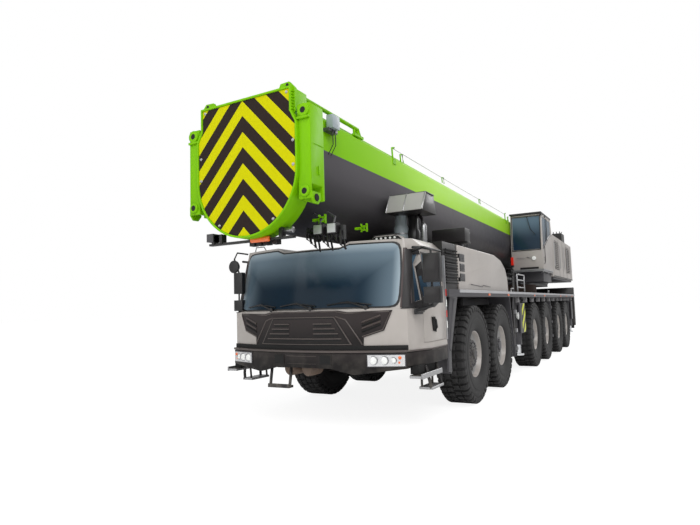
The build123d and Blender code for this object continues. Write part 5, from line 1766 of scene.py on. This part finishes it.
    def tail(self):
        """Rear lamps, the number board's bare plate and the flaps behind the last axle."""
        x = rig.box("rear_box")[0][0] - ORIGIN
        low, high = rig.box("rear_box")[0][2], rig.box("rear_box")[1][2]
        kit = Form("rear_lamps", "carrier", "plastic", "red_lamp", "orange_lamp", "white_lamp", "casing")
        for _, side in SIDES:
            for number, look in enumerate(("red_lamp", "orange_lamp", "white_lamp")):
                y = side * (1.36 - 0.13 * number)
                kit.block((x - 0.008, x + 0.012), sorted((y - 0.055, y + 0.055)), (low + 0.08, low + 0.19),
                          look)
            kit.block((x - 0.006, x + 0.010), across(side, 0.60, 0.95), (high - 0.12, high - 0.08),
                      "red_lamp")
            kit.block((-12.72, -12.69), across(side, 1.02, 1.44), (0.50, low + 0.05), "plastic")
        kit.block((x - 0.006, x + 0.010), (-0.26, 0.26), (low + 0.10, low + 0.22), "casing")
        kit.done(0.002, 1)


# -------------------------------------------------------------- plain pieces
PLAIN = [
    # node, finish, edge radius
    ("chassis_frame", "casing", 0.006), ("axle_beams", "black", 0.006),
    ("outrigger_boxes", "casing", 0.006), ("cab_seats_and_fascia", "seat", 0.012),
    ("radiator_boxes", "black", 0.006), ("engine_block", "iron", 0.02), ("rear_box", "black", 0.010),
    ("slew_ring", "rust", 0.004), ("turret_frame", "casing", 0.006), ("hoist_winch", "steel", 0.006),
    ("crane_cab_seat", "seat", 0.02), ("luff_ram_barrel", "slate", 0.004), ("luff_ram_rod", "chrome", 0.0),
]
PLAIN_KINDS = [
    # start of the node's name, finish, edge radius
    ("knuckle", "black", 0.004), ("jack_leg", "chrome", 0.0),
]


class CRANE_OT_skins(bpy.types.Operator):
    """Round the edges of the plain pieces and paint them"""
    bl_idname = "crane.skins"
    bl_label = "Plain pieces"

    def execute(self, context):
        for name, look, width in PLAIN:
            dressed(name, look, width)
        for start, look, width in PLAIN_KINDS:
            for node in sorted(frame["nodes"]):
                if node.startswith(start):
                    dressed(node, look, width)
        return {"FINISHED"}


# --------------------------------------------------------------------- add-on
class CRANE_PT_panel(bpy.types.Panel):
    """The crane's groups of pieces, in the order in which they are made"""
    bl_idname = "CRANE_PT_panel"
    bl_label = "Mobile crane"
    bl_space_type = "VIEW_3D"
    bl_region_type = "UI"
    bl_category = "Crane"

    def draw(self, context):
        for operator in OPERATORS:
            self.layout.operator(operator.bl_idname)


OPERATORS = tuple(item for name, item in sorted(globals().items()) if name.startswith("CRANE_OT_"))
CLASSES = (CraneColours, CraneView) + OPERATORS + (CRANE_PT_panel,)


def register():
    """Add the operators, the panel and the scene's settings."""
    for item in CLASSES:
        bpy.utils.register_class(item)
    bpy.types.Scene.crane_colours = bpy.props.PointerProperty(type=CraneColours)
    bpy.types.Scene.crane_view = bpy.props.PointerProperty(type=CraneView)


def unregister():
    """Take away what register adds."""
    del bpy.types.Scene.crane_view
    del bpy.types.Scene.crane_colours
    for item in reversed(CLASSES):
        bpy.utils.unregister_class(item)


def main():
    """Make every group of pieces and write down the size of the whole."""
    register()
    for operator in OPERATORS:
        getattr(bpy.ops.crane, operator.bl_idname.split(".")[1])()
    with open("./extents.json", "w") as out:
        json.dump({"cad": [list(c) for c in CAD_BOX], "visual": [list(c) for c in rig.bounds()]}, out)


if __name__ == "__main__":
    main()
